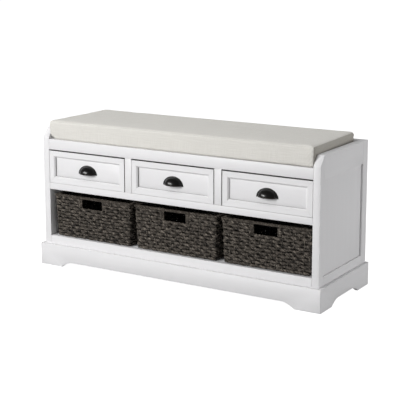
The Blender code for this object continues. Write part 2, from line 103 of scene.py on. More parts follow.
eye = bpy.data.cameras.new("eye")
eye.sensor_width = SENSOR
eye.lens = LENS
eye.shift_y = EYE_SHIFT
eye_place = place_piece("eye", eye)
eye_place.location = EYE
eye_place.rotation_euler = (EYE_TILT, 0, EYE_TURN)
bpy.context.scene.camera = eye_place
bpy.context.scene.view_settings.view_transform = "Standard"
print("eye stands", round(EYE.length, 2), "m from the middle of the footprint")

# %% White sky
SKY_SEEN = 1.05
SKY_LIGHT = 0.16
SKY_TONE = (0.97, 0.985, 1.0, 1)
WHITE = (1, 1, 1, 1)

sky = bpy.data.worlds.new("studio sky")
sky.use_nodes = True
sky.node_tree.nodes.clear()
bpy.context.scene.world = sky


def add_node(tree, kind, **settings):
    """A new node in a tree, with its own settings made in the same call."""
    made = tree.nodes.new(kind)
    for name, value in settings.items():
        setattr(made, name, value)
    return made


sky_out = add_node(sky.node_tree, "ShaderNodeOutputWorld")
sky_mix = add_node(sky.node_tree, "ShaderNodeMixShader")
sky_ray = add_node(sky.node_tree, "ShaderNodeLightPath")
sky.node_tree.links.new(sky_ray.outputs["Is Camera Ray"], sky_mix.inputs[0])
for socket, strength, tone in ((1, SKY_LIGHT, SKY_TONE), (2, SKY_SEEN, WHITE)):
    glow = add_node(sky.node_tree, "ShaderNodeBackground")
    glow.inputs["Strength"].default_value = strength
    glow.inputs["Color"].default_value = tone
    sky.node_tree.links.new(glow.outputs[0], sky_mix.inputs[socket])
sky.node_tree.links.new(sky_mix.outputs[0], sky_out.inputs["Surface"])
print("sky seen", SKY_SEEN, "sky light", SKY_LIGHT)


# %% Soft panels
def add_panel(name, place, aim, size, power, mirrored=False):
    """A panel light that faces a point. A mirrored one lights nothing and shows only in gloss."""
    light = bpy.data.lights.new(name, "AREA")
    light.shape = "RECTANGLE"
    light.size, light.size_y = size
    light.energy = power
    panel = place_piece(name, light)
    panel.location = place
    panel.rotation_euler = (Vector(aim) - Vector(place)).to_track_quat("-Z", "Y").to_euler()
    panel.visible_glossy = mirrored
    panel.visible_diffuse = not mirrored
    return panel


# Each row: the panel's name, where it hangs, what it faces, its width and height, and its power in watts.
add_panel("front left panel", (-1.9, -4.0, 2.2), (0, 0, 0.25), (2.4, 1.8), 178)
add_panel("highlight card", (-2.3, -3.2, 1.05), (0, 0, 0.3), (1.9, 0.6), 58, mirrored=True)
add_panel("overhead panel", (-0.2, 0.2, 3.2), (0, 0, 0), (3.0, 2.2), 30)
add_panel("right side panel", (3.2, 0.9, 0.5), (0.5, 0, 0.2), (1.8, 1.0), 31)

# %% Pale floor
FLOOR_SIZE = 60.0
FLOOR_DROP = 0.4 * MM
FLOOR_TONE = 0.38
FLOOR_BOUNCE = 0.10
FLOOR_SEEN = 1.0

floor_mesh = bpy.data.meshes.new("floor")
half = FLOOR_SIZE / 2
floor_corners = [(-half, -half, 0), (half, -half, 0), (half, half, 0), (-half, half, 0)]
floor_mesh.from_pydata(floor_corners, [], [(0, 1, 2, 3)])
floor = place_piece("floor", floor_mesh)
floor.location.z = -FLOOR_DROP

floor_paper = bpy.data.materials.new("white paper sweep")
floor_paper.use_nodes = True
floor_shader = floor_paper.node_tree.nodes["Principled BSDF"]
floor_shader.inputs["Base Color"].default_value = (FLOOR_TONE, FLOOR_TONE, FLOOR_TONE, 1)
floor_shader.inputs["Roughness"].default_value = 0.9
floor_shader.inputs["Specular IOR Level"].default_value = 0.1
floor_shader.inputs["Emission Color"].default_value = WHITE
floor_ray = add_node(floor_paper.node_tree, "ShaderNodeLightPath")
floor_glow = add_node(floor_paper.node_tree, "ShaderNodeMapRange")
floor_glow.inputs["To Min"].default_value = FLOOR_BOUNCE
floor_glow.inputs["To Max"].default_value = FLOOR_SEEN
floor_paper.node_tree.links.new(floor_ray.outputs["Is Camera Ray"], floor_glow.inputs["Value"])
floor_paper.node_tree.links.new(floor_glow.outputs[0], floor_shader.inputs["Emission Strength"])
floor_mesh.materials.append(floor_paper)
print("floor", FLOOR_SIZE, "m square")

# %% [markdown]
# ## Building shader trees
# Every finish here is made of nodes. Three small helpers keep that short: one wires two nodes together,
# one does arithmetic, and one lays a colour ramp. Effects that several finishes share are node groups:
# they are built once, have named inputs, and hand back only values, so the shader itself stays in each
# finish where its gloss can be read.


# %% Node helpers
def wire(tree, source, target):
    """Feeds a socket, or sets it to a plain value when the source is not a socket."""
    if isinstance(source, bpy.types.NodeSocket):
        tree.links.new(source, target)
    else:
        target.default_value = source


def sum_up(tree, operation, first, second=0.5, third=0.5, clamp=False):
    """One arithmetic node; each value is a socket or a number."""
    made = add_node(tree, "ShaderNodeMath", operation=operation, use_clamp=clamp)
    for value, socket in zip((first, second, third), made.inputs):
        wire(tree, value, socket)
    return made.outputs[0]


def stretch(tree, vector, scale):
    """A vector scaled by different amounts along its three directions."""
    made = add_node(tree, "ShaderNodeMapping")
    wire(tree, vector, made.inputs["Vector"])
    made.inputs["Scale"].default_value = scale
    return made.outputs[0]


def noise(tree, vector, scale, detail=2.0, roughness=0.5):
    """Cloudy noise between 0 and 1; the scale is in lumps per metre."""
    made = add_node(tree, "ShaderNodeTexNoise")
    wire(tree, vector, made.inputs["Vector"])
    wire(tree, scale, made.inputs["Scale"])
    made.inputs["Detail"].default_value = detail
    made.inputs["Roughness"].default_value = roughness
    return made.outputs["Fac"]


def spread(tree, value, low, high, to_low=0.0, to_high=1.0):
    """Maps a value from one span to another and holds it there."""
    made = add_node(tree, "ShaderNodeMapRange")
    names = ("Value", "From Min", "From Max", "To Min", "To Max")
    for name, number in zip(names, (value, low, high, to_low, to_high)):
        wire(tree, number, made.inputs[name])
    return made.outputs[0]


def tint(tree, mask, first, second):
    """A colour that goes from the first to the second as the mask goes from 0 to 1."""
    made = add_node(tree, "ShaderNodeMix", data_type="RGBA")
    colours = [socket for socket in made.inputs if socket.type == "RGBA"]
    wire(tree, mask, made.inputs["Factor"])
    wire(tree, first, colours[0])
    wire(tree, second, colours[1])
    return made.outputs[2]


def shown(red, green, blue):
    """A colour as it looks on a screen, 0 to 255, turned into the light values that a shader mixes."""
    values = [value / 255 for value in (red, green, blue)]
    return (*[v / 12.92 if v <= 0.04045 else ((v + 0.055) / 1.055) ** 2.4 for v in values], 1)


def new_group(name, inputs, outputs):
    """An empty node group with its named sockets; each is (name, kind) or (name, kind, value)."""
    group = bpy.data.node_groups.new(name, "ShaderNodeTree")
    for direction, sockets in (("INPUT", inputs), ("OUTPUT", outputs)):
        for socket_name, kind, *value in sockets:
            socket = group.interface.new_socket(
                name=socket_name, in_out=direction, socket_type=f"NodeSocket{kind}"
            )
            if value:
                socket.default_value = value[0]
    return group, add_node(group, "NodeGroupInput").outputs, add_node(group, "NodeGroupOutput").inputs


def use_group(tree, group, **values):
    """A group node in a finish, its inputs named with underscores for spaces."""
    made = add_node(tree, "ShaderNodeGroup", node_tree=group)
    for name, value in values.items():
        wire(tree, value, made.inputs[name.replace("_", " ")])
    return made.outputs


def new_finish(name):
    """A material with its Principled shader: returns the material, its tree and that shader."""
    finish = bpy.data.materials.new(name)
    finish.use_nodes = True
    return finish, finish.node_tree, finish.node_tree.nodes["Principled BSDF"]


def read(tree, attribute):
    """An attribute that was written on the mesh when the piece was made."""
    return add_node(tree, "ShaderNodeAttribute", attribute_name=attribute)


def multiply(tree, vector, amount):
    """A colour or a place with all three of its numbers multiplied by one amount."""
    made = add_node(tree, "ShaderNodeVectorMath", operation="SCALE")
    wire(tree, vector, made.inputs[0])
    wire(tree, amount, made.inputs["Scale"])
    return made.outputs[0]


def bump(tree, height, strength, distance):
    """Turns a height between 0 and 1 into a tilted normal; the distance is in metres."""
    made = add_node(tree, "ShaderNodeBump")
    wire(tree, height, made.inputs["Height"])
    made.inputs["Strength"].default_value = strength
    made.inputs["Distance"].default_value = distance
    return made.outputs[0]


def dress(tree, shader, colour, tone, roughness, normal):
    """Feeds a finish: its colour under a slow change of tone, its roughness and its tilted normal."""
    wire(tree, multiply(tree, colour, tone), shader.inputs["Base Color"])
    wire(tree, roughness, shader.inputs["Roughness"])
    wire(tree, normal, shader.inputs["Normal"])


print("node helpers ready")

# %% [markdown]
# ## Shared effects
# - **drift**: a slow change of tone, because no paint, cloth or rope is one even colour.
# - **board grain**: long streaks that follow a board, faint through paint and plain on bare wood.
# - **edge rub**: broken wear on the rounded edges, where hands and dusters rub the finish.
# - **fibres**: short hairs along a strand or a thread, for rope and for linen.

# %% Drift group
drift, put, take = new_group(
    "drift",
    [("Place", "Vector"), ("Lumps", "Float", 6.0), ("Amount", "Float", 0.1)],
    [("Value", "Float")],
)
cloud = noise(drift, put["Place"], put["Lumps"], detail=3.0)
centred = sum_up(drift, "SUBTRACT", cloud, 0.5)
wire(drift, sum_up(drift, "MULTIPLY_ADD", centred, put["Amount"], 1.0), take["Value"])
print("drift:", [item.name for item in drift.interface.items_tree])

# %% Board grain group
board_grain, put, take = new_group(
    "board grain",
    [("Place", "Vector"), ("Fineness", "Float", 1.0)],
    [("Streak", "Float"), ("Pore", "Float")],
)
scaled = multiply(board_grain, put["Place"], put["Fineness"])
wavy = noise(board_grain, stretch(board_grain, scaled, (3, 60, 60)), 1.0, detail=4.0)
wire(board_grain, spread(board_grain, wavy, 0.3, 0.7), take["Streak"])
hairs = noise(board_grain, stretch(board_grain, scaled, (40, 1400, 1400)), 1.0, detail=1.0)
wire(board_grain, spread(board_grain, hairs, 0.35, 0.65), take["Pore"])
print("board grain:", [item.name for item in board_grain.interface.items_tree])

# %% Edge rub group
edge_rub, put, take = new_group(
    "edge rub",
    [("Edge", "Float"), ("Place", "Vector"), ("Amount", "Float", 0.5)],
    [("Mask", "Float")],
)
patches = noise(edge_rub, put["Place"], 38.0, detail=4.0, roughness=0.65)
broken = spread(edge_rub, patches, 0.48, 0.62)
on_edges = sum_up(edge_rub, "MULTIPLY", broken, put["Edge"])
wire(edge_rub, sum_up(edge_rub, "MULTIPLY", on_edges, put["Amount"], clamp=True), take["Mask"])
print("edge rub:", [item.name for item in edge_rub.interface.items_tree])

# %% Fibres group
fibres, put, take = new_group(
    "fibres",
    [("Place", "Vector"), ("Hairs", "Float", 1.0)],
    [("Tone", "Float"), ("Height", "Float")],
)
scaled = multiply(fibres, put["Place"], put["Hairs"])
long_hairs = noise(fibres, stretch(fibres, scaled, (60, 900, 900)), 1.0, detail=2.0)
flecks = noise(fibres, stretch(fibres, scaled, (110, 420, 420)), 1.0, detail=2.0)
wire(fibres, spread(fibres, flecks, 0.35, 0.72), take["Tone"])
wire(fibres, long_hairs, take["Height"])
print("fibres:", [item.name for item in fibres.interface.items_tree])

# %% [markdown]
# ## White satin paint
# The case is primed and sprayed in a cool white, rolled out smooth but not glassy. A sprayed film dries
# with a fine orange-peel ripple, lets a trace of the board's grain through, and is thinnest on the
# rounded edges. The places that the finish reads come from marks written on each mesh: where a point lies
# along its own board, and whether a face is part of a rounded edge. A third mark is set on the sides of
# narrow gaps, and the finish paints those faces dark grey as painted shade, so the gaps show as dark lines.

# %% Paint finish
paint, tree, shader = new_finish("white satin paint")
board_place = read(tree, "board_place").outputs["Vector"]
rounded = read(tree, "rounded_edge").outputs["Fac"]
grain = use_group(tree, board_grain, Place=board_place, Fineness=1.0)
rubbed = use_group(tree, edge_rub, Edge=rounded, Place=board_place, Amount=0.45)["Mask"]
gap_shade_mask = read(tree, "gap_shade").outputs["Fac"]
tone = use_group(tree, drift, Place=board_place, Lumps=5.0, Amount=0.025)["Value"]
film = tint(tree, grain["Streak"], shown(237, 236, 237), shown(235, 234, 235))
# Painted shade: faces marked as gap sides are painted dark grey so the narrow gaps read as dark lines.
film_with_gap_shade = tint(tree, gap_shade_mask, film, shown(86, 84, 82))
worn = tint(tree, rubbed, film_with_gap_shade, shown(214, 209, 200))
ripple = noise(tree, board_place, 420.0, detail=1.0)
gloss = spread(tree, noise(tree, board_place, 14.0, detail=3.0), 0.3, 0.7, 0.34, 0.46)
relief = sum_up(tree, "MULTIPLY_ADD", grain["Pore"], 0.25, ripple)
dress(tree, shader, worn, tone, gloss, bump(tree, relief, 0.10, 0.4 * MM))
shader.inputs["Specular IOR Level"].default_value = 0.42
print("paint nodes:", len(tree.nodes))

# %% [markdown]
# ## Inside boards
# The drawer boxes are only sealed, their bottoms are thin plywood, and the back is a white-faced
# hardboard. They share the grain group with the paint, with bolder values.

# %% Bare wood finish
pale_wood, tree, shader = new_finish("drawer box wood")
board_place = read(tree, "board_place").outputs["Vector"]
rounded = read(tree, "rounded_edge").outputs["Fac"]
grain = use_group(tree, board_grain, Place=board_place, Fineness=1.0)
rubbed = use_group(tree, edge_rub, Edge=rounded, Place=board_place, Amount=0.5)["Mask"]
tone = use_group(tree, drift, Place=board_place, Lumps=9.0, Amount=0.12)["Value"]
film = tint(tree, grain["Streak"], shown(228, 226, 221), shown(219, 216, 209))
worn = tint(tree, rubbed, film, shown(205, 196, 178))
gloss = spread(tree, grain["Pore"], 0, 1, 0.5, 0.66)
dress(tree, shader, worn, tone, gloss, bump(tree, grain["Pore"], 0.3, 0.3 * MM))
print("drawer wood nodes:", len(tree.nodes))

# %% Plywood finish
plywood, tree, shader = new_finish("drawer bottom plywood")
board_place = read(tree, "board_place").outputs["Vector"]
grain = use_group(tree, board_grain, Place=board_place, Fineness=0.8)
tone = use_group(tree, drift, Place=board_place, Lumps=7.0, Amount=0.2)["Value"]
film = tint(tree, grain["Streak"], shown(206, 182, 146), shown(178, 148, 108))
veined = tint(tree, spread(tree, grain["Pore"], 0.5, 1.0, 0.0, 0.4), film, shown(140, 110, 76))
gloss = spread(tree, grain["Pore"], 0, 1, 0.55, 0.72)
dress(tree, shader, veined, tone, gloss, bump(tree, grain["Pore"], 0.35, 0.3 * MM))
print("plywood nodes:", len(tree.nodes))

# %% Hardboard finish
hardboard, tree, shader = new_finish("white hardboard")
board_place = read(tree, "board_place").outputs["Vector"]
tone = use_group(tree, drift, Place=board_place, Lumps=4.0, Amount=0.08)["Value"]
speck = noise(tree, board_place, 900.0, detail=2.0)
film = tint(tree, spread(tree, speck, 0.55, 0.75), shown(226, 226, 226), shown(212, 211, 208))
gloss = spread(tree, speck, 0.3, 0.7, 0.5, 0.64)
dress(tree, shader, film, tone, gloss, bump(tree, speck, 0.2, 0.3 * MM))
print("hardboard nodes:", len(tree.nodes))

# %% [markdown]
# ## Boards with eased edges
# A saw leaves a board sharp, and the sander takes every edge down by a little less than a millimetre
# before painting. Those eased edges catch the light, and they draw the fine joint lines between rails and
# stiles. A copy of each packed board gets its split corners joined and its flat faces made whole again;
# a Bevel modifier then eases the edges. The modifier can give its new faces a material number of their
# own, and that is how the edge mark for the paint is found without measuring anything.

# %% Board helpers
EASE = 0.8 * MM
STILE_EASE = 1.8 * MM  # the front stiles are where hands and knees pass
JOIN_WITHIN = 0.02 * MM
FLAT_WITHIN = math.radians(0.5)


def apply_modifiers(piece):
    """Replaces a piece's mesh by the one that its modifiers make."""
    graph = bpy.context.evaluated_depsgraph_get()
    made = bpy.data.meshes.new_from_object(piece.evaluated_get(graph))
    piece.modifiers.clear()
    piece.data = made
    return piece


def whole_copy(node, name):
    """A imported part's mesh with its split corners joined and its triangles merged into whole flat faces."""
    shape = bmesh.new()
    shape.from_mesh(frame["nodes"][node].data)
    bmesh.ops.remove_doubles(shape, verts=shape.verts, dist=JOIN_WITHIN)
    bmesh.ops.dissolve_limit(
        shape,
        angle_limit=FLAT_WITHIN,
        use_dissolve_boundaries=False,
        verts=shape.verts,
        edges=shape.edges,
    )
    mesh = bpy.data.meshes.new(name)
    shape.to_mesh(mesh)
    shape.free()
    return mesh


def mesh_points(mesh):
    """All points of a mesh as rows of x, y, z."""
    points = np.empty(len(mesh.vertices) * 3, np.float32)
    mesh.vertices.foreach_get("co", points)
    return points.reshape(-1, 3)


def write_mark(mesh, name, values, domain="POINT"):
    """Writes a number or a row of three on each point, corner or face of a mesh."""
    values = np.ascontiguousarray(values, np.float32)
    kind, field = ("FLOAT_VECTOR", "vector") if values.ndim == 2 else ("FLOAT", "value")
    mesh.attributes.new(name, kind, domain).data.foreach_set(field, values.ravel())


def mark_board(mesh, lengthwise, start):
    """Writes each point's place along, across and through its board, moved by a start."""
    order = [lengthwise] + [axis for axis in range(3) if axis != lengthwise]
    write_mark(mesh, "board_place", mesh_points(mesh)[:, order] + np.array(start, np.float32))


def mark_edges(mesh):
    """Moves the bevel's face number into a mark that the paint reads, and leaves one material."""
    numbers = np.empty(len(mesh.polygons), np.int32)
    mesh.polygons.foreach_get("material_index", numbers)
    write_mark(mesh, "rounded_edge", numbers > 0, "FACE")
    mesh.polygons.foreach_set("material_index", np.zeros(len(mesh.polygons), np.int32))


def mark_gap_shade(piece, *directions):
    """Marks the faces of a piece that look certain ways, on the sides of a gap, which the paint darkens as
    painted shade.
    """
    faces = piece.data.polygons
    facing = [max(face.normal.dot(direction) for direction in directions) for face in faces]
    write_mark(piece.data, "gap_shade", np.array(facing) > 0.9, "FACE")


def ease_edges(piece, width, segments=2):
    """Rounds every sharp edge of a piece and keeps its flat faces shaded flat."""
    piece.data.shade_smooth()
    bevel = piece.modifiers.new("eased edges", "BEVEL")
    bevel.width = width
    bevel.segments = segments
    bevel.limit_method = "ANGLE"
    bevel.angle_limit = math.radians(32)
    bevel.harden_normals = True
    bevel.material = 1
    return apply_modifiers(piece)


def longest_side(node):
    """Which way a board runs: 0 along X, 1 along Y or 2 along Z."""
    low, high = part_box(node)
    return max(range(3), key=lambda axis: high[axis] - low[axis])


print("edges are eased by", round(EASE / MM, 2), "mm")

# %% Finish every plain board
shuffle = random.Random(7)
BOARD_FINISHES = {
    "white_paint": paint,
    "drawer_box_wood": pale_wood,
    "drawer_bottom_board": plywood,
    "back_hardboard": hardboard,
}
SLOT_OF_NODE = {row["node"]: row["material_slot"] for row in frame["record"]["subparts"]}
BODY_OF_NODE = {
    node: body
    for node, packed in frame["nodes"].items()
    for body, holder in frame["bodies"].items()
    if packed.parent == holder
}


def random_start():
    """Somewhere far off in the grain, so that no two boards match."""
    return [shuffle.uniform(-5, 5) for _ in range(3)]


def finish_piece(piece, node):
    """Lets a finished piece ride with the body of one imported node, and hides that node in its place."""
    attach(piece, BODY_OF_NODE[node])
    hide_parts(node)
    return piece


def finish_board(node):
    """One eased, marked and painted copy in place of a packed board."""
    name = f"{node}_board"
    mesh = whole_copy(node, name)
    mesh.materials.clear()
    for _ in range(2):
        mesh.materials.append(BOARD_FINISHES[SLOT_OF_NODE[node]])
    piece = ease_edges(place_piece(name, mesh), STILE_EASE if node.endswith("front_stile") else EASE)
    mark_edges(piece.data)
    piece.data.materials.pop(index=1)
    mark_board(piece.data, longest_side(node), random_start())
    # Painted shade: the divider's right-facing side beside drawer 3's gap is marked to be painted dark grey.
    if node == "drawer_divider_2":
        mark_gap_shade(piece, Vector((1, 0, 0)))
    return finish_piece(piece, node)


plain_boards = [
    node
    for node, slot in SLOT_OF_NODE.items()
    if slot in BOARD_FINISHES and not node.endswith("front_frame")
]
for node in plain_boards:
    finish_board(node)
print("boards finished:", len(plain_boards))

# %% [markdown]
# ## Drawer fronts
# Each drawer front is a picture-frame moulding round a thin panel. The joiner runs the moulding with a
# flat face and a bevel along its inner edge, cuts each length at forty-five degrees and glues the four
# mitres. Here it is made in the same way: one profile is pushed along each side, both ends are cut on
# the slope by sliding every profile point inwards, and the edges are eased so that the mitres show as
# fine lines. Modelling four members costs little and gives joints that a single frame could not show.
# A drawer rests on the deck and runs a little to one side, so its gaps are wider above and at one end.
# The sides of those gaps are painted dark grey as painted shade, so the gaps are drawn as thin dark lines.

# %% Moulding profile
MOULDING_WIDTH = 22.5 * MM
BEVEL_START = 18.0 * MM
BEVEL_DEPTH = 5.0 * MM
PANEL_DEPTH = 8.0 * MM
REBATE_WIDTH = 7.3 * MM
FRONT_THICKNESS = 18.0 * MM
MITRE_GAP = 0.06 * MM
MOULDING_EASE = 0.45 * MM

# Each point is how far in from the drawer's outer edge it lies, and how deep behind the front face.
moulding_profile = [
    (0, FRONT_THICKNESS),
    (0, 0),
    (BEVEL_START, 0.4 * MM),
    (BEVEL_START + 0.8 * MM, 1.0 * MM),
    (MOULDING_WIDTH - 0.9 * MM, BEVEL_DEPTH - 0.7 * MM),
    (MOULDING_WIDTH, BEVEL_DEPTH),
    (MOULDING_WIDTH, PANEL_DEPTH),
    (MOULDING_WIDTH - REBATE_WIDTH, PANEL_DEPTH),
    (MOULDING_WIDTH - REBATE_WIDTH, FRONT_THICKNESS),
]
print("moulding profile points:", len(moulding_profile))


# %% Mitred members
def turn_outwards(mesh, join_within=0.0):
    """Turns every face of a mesh outwards, after joining points that lie closer than a distance."""
    shape = bmesh.new()
    shape.from_mesh(mesh)
    if join_within:
        bmesh.ops.remove_doubles(shape, verts=shape.verts, dist=join_within)
    bmesh.ops.recalc_face_normals(shape, faces=shape.faces)
    shape.to_mesh(mesh)
    shape.free()


def mitred_member(name, corner, along, inward, length):
    """One side of a mitred frame, from an outer corner; it runs along one way and is moulded inwards."""
    points = []
    for at_start in (True, False):
        for inset, depth in moulding_profile:
            slide = inset + MITRE_GAP
            run = slide if at_start else length - slide
            points.append(corner + along * run + inward * inset + Vector((0, depth, 0)))
    count = len(moulding_profile)
    sides = [(i, (i + 1) % count, count + (i + 1) % count, count + i) for i in range(count)]
    mesh = bpy.data.meshes.new(name)
    mesh.from_pydata(points, [], [*sides, tuple(range(count))[::-1], tuple(range(count, 2 * count))])
    for _ in range(2):
        mesh.materials.append(paint)
    turn_outwards(mesh)
    member = ease_edges(place_piece(name, mesh), MOULDING_EASE)
    mark_edges(member.data)
    lengthwise = 0 if abs(along.x) > 0.5 else 2
    mark_board(member.data, lengthwise, random_start())
    return member


def join_pieces(name, parts):
    """Joins several objects into one piece and gives it a name."""
    with bpy.context.temp_override(
        active_object=parts[0], object=parts[0], selected_objects=parts, selected_editable_objects=parts
    ):
        bpy.ops.object.join()
    parts[0].name = name
    parts[0].data.name = name
    return parts[0]


DRAWER_SAG = 1.0 * MM
DRAWER_DRIFT = {1: -0.6 * MM, 2: -0.6 * MM, 3: 0.8 * MM}
RIGHT = Vector((1, 0, 0))
UP = Vector((0, 0, 1))
for number in (1, 2, 3):
    low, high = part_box(f"drawer_{number}_front_frame")
    width, height = high.x - low.x, high.z - low.z
    lower_left, upper_right = Vector((low.x, low.y, low.z)), Vector((high.x, low.y, high.z))
    members = [
        mitred_member("bottom", lower_left, RIGHT, UP, width),
        mitred_member("left", lower_left, UP, RIGHT, height),
        mitred_member("top", upper_right, -RIGHT, -UP, width),
        mitred_member("right", upper_right, -UP, -RIGHT, height),
    ]
    moulding = join_pieces(f"drawer_{number}_mitred_moulding", members)
    while len(moulding.data.materials) > 1:
        moulding.data.materials.pop(index=1)
    # Painted shade: the moulding's top edge and, for a drawer that runs to the left, its right edge are
    # painted dark grey.
    mark_gap_shade(moulding, UP, *([RIGHT] if DRAWER_DRIFT[number] < 0 else []))
    moulding.location = (DRAWER_DRIFT[number], 0, -DRAWER_SAG)
    finish_piece(moulding, f"drawer_{number}_front_frame")
    print(moulding.name, "faces:", len(moulding.data.polygons))

# %% [markdown]
# ## Cup pulls
# A cup pull is a casting: a quarter of an egg that stands off the drawer, a thin flange round its arch
# that sits on the wood, and two posts inside for the screws. The dome is drawn as meridians from one end
# to the other, which puts the closest points where the shape turns fastest. A Solidify modifier gives it
# its cast wall, and a bead is swept along the open lip, because fingers pull there and a real one is
# never left sharp. The finish is near-black bronze: the metal shows through a little on the lip.

# %% Dark bronze finish
bronze, tree, shader = new_finish("dark oiled bronze")
place = add_node(tree, "ShaderNodeTexCoord").outputs["Object"]
handled = read(tree, "handled").outputs["Fac"]
patch = noise(tree, place, 95.0, detail=3.0)
rub = sum_up(tree, "MULTIPLY", spread(tree, patch, 0.42, 0.66), handled, clamp=True)
base = tint(tree, patch, shown(10, 9, 8), shown(19, 17, 15))
wire(tree, tint(tree, rub, base, shown(84, 68, 52)), shader.inputs["Base Color"])
shader.inputs["Metallic"].default_value = 0.4
shader.inputs["Specular IOR Level"].default_value = 0.3
pits = noise(tree, place, 1500.0, detail=2.0)
wire(tree, spread(tree, patch, 0.3, 0.7, 0.26, 0.36), shader.inputs["Roughness"])
wire(tree, bump(tree, pits, 0.12, 0.2 * MM), shader.inputs["Normal"])
shader.inputs["Coat Weight"].default_value = 0.6
shader.inputs["Coat Roughness"].default_value = 0.16
shader.inputs["Coat IOR"].default_value = 1.45
print("bronze nodes:", len(tree.nodes))

# %% Pull parts
FLANGE_WIDTH = 3.0 * MM
FLANGE_THICKNESS = 1.6 * MM
PULL_WALL = 1.8 * MM
LIP_RADIUS = 1.1 * MM
LIP_RAISE = 1.6 * MM
FOOT_WIDTH = 6.5 * MM
POST_SPACING = 48 * MM
POST_RAISE = 9.0 * MM
SCREW_RADIUS = 2.6 * MM
ARCH_FULLNESS = 0.92  # below 1 the arch is a little squarer than half an ellipse
ARCH_STEPS = 48
DOME_STEPS = 16


def grid_faces(rows, columns, loop_rows=False, loop_columns=False):
    """Square faces over a grid of points that are numbered row by row."""
    row_count = rows if loop_rows else rows - 1
    column_count = columns if loop_columns else columns - 1
    row, column = np.meshgrid(np.arange(row_count), np.arange(column_count), indexing="ij")
    next_row, next_column = (row + 1) % rows, (column + 1) % columns
    corners = (
        row * columns + column,
        row * columns + next_column,
        next_row * columns + next_column,
        next_row * columns + column,
    )
    return np.stack(corners, -1).reshape(-1, 4)


def unit(rows):
    """Each row stretched or shortened to length one."""
    return rows / np.linalg.norm(rows, axis=1)[:, None]


def heading(path, closed):
    """The direction of travel at each point of a path."""
    return unit(np.roll(path, -1, 0) - np.roll(path, 1, 0) if closed else np.gradient(path, axis=0))


def travelled(path):
    """How far each point of a path lies from its start, measured along the path."""
    return np.concatenate([[0], np.cumsum(np.linalg.norm(np.diff(path, axis=0), axis=1))])


def tube(path, radius, sides=10, closed=False, out=(0, 0, 1)):
    """Points and faces of a round rod that follows a path; the radius may change along it."""
    path = np.asarray(path, float)
    ahead = heading(path, closed)
    across = unit(np.cross(ahead, np.broadcast_to(out, path.shape)))
    over = np.cross(across, ahead)
    turn = np.linspace(0, 2 * np.pi, sides, endpoint=False)
    radius = np.broadcast_to(np.asarray(radius, float), len(path))[:, None, None]
    ring = np.cos(turn)[None, :, None] * across[:, None] + np.sin(turn)[None, :, None] * over[:, None]
    points = (path[:, None] + radius * ring).reshape(-1, 3)
    faces = grid_faces(len(path), sides, closed, True).tolist()
    if not closed:
        last = (len(path) - 1) * sides
        faces += [list(range(sides))[::-1], list(range(last, last + sides))]
    return points, faces


def mesh_from(name, parts):
    """One mesh from several (points, faces) pairs, with its faces turned outwards."""
    mesh = bpy.data.meshes.new(name)
    points, faces, start = [], [], 0
    for part_points, part_faces in parts:
        points.extend(np.asarray(part_points).tolist())
        faces.extend([[index + start for index in face] for face in part_faces])
        start += len(part_points)
    mesh.from_pydata(points, [], faces)
    turn_outwards(mesh, 0.001 * MM)
    mesh.shade_smooth()
    return mesh


def pull_dome(half, rise, reach):
    """A quarter of an egg: x across, y out of the drawer and z up, open below and behind."""
    along = np.linspace(0, np.pi, ARCH_STEPS + 1)
    over = np.linspace(0, np.pi / 2, DOME_STEPS + 1)
    x = half * np.cos(along)[:, None] * np.ones_like(over)[None, :]
    full = np.sin(along) ** ARCH_FULLNESS
    y = -reach * full[:, None] * np.sin(over)[None, :]
    z = rise * full[:, None] * np.cos(over)[None, :]
    points = np.stack([x, y, z], -1).reshape(-1, 3)
    return points, grid_faces(ARCH_STEPS + 1, DOME_STEPS + 1).tolist()


def flange_plate(half, rise, dome_half, dome_rise):
    """The flat rim on the wood, from just inside the dome to the outer arch, widest at its two feet."""
    along = np.linspace(0, np.pi, ARCH_STEPS + 1)
    inner_half, inner_rise = dome_half - 1.0 * MM, dome_rise - 1.0 * MM
    inner = np.stack([inner_half * np.cos(along), inner_rise * np.sin(along) + LIP_RAISE], -1)
    outer = np.stack([half * np.cos(along), rise * np.sin(along)], -1)
    soft, thick = 0.5 * MM, FLANGE_THICKNESS
    # Across the plate: how far from the inner to the outer edge, how far inside that edge, and how thick.
    section = [
        (0, 0, 0),
        (0, 0, thick),
        (1, soft, thick),
        (1, 0.3 * soft, thick - 0.3 * soft),
        (1, 0, thick - soft),
        (1, 0, 0),
    ]
    towards = unit(outer - inner)
    rings = []
    for share, inside, height in section:
        flat = inner + share * (outer - inner) - inside * towards
        rings.append(np.column_stack([flat[:, 0], np.full(len(flat), -height), flat[:, 1]]))
    points = np.stack(rings, 1)
    count = len(section)
    faces = grid_faces(len(inner), count, False, True).tolist()
    last = (len(inner) - 1) * count
    faces += [list(range(count)), list(range(last, last + count))]
    return points.reshape(-1, 3), faces


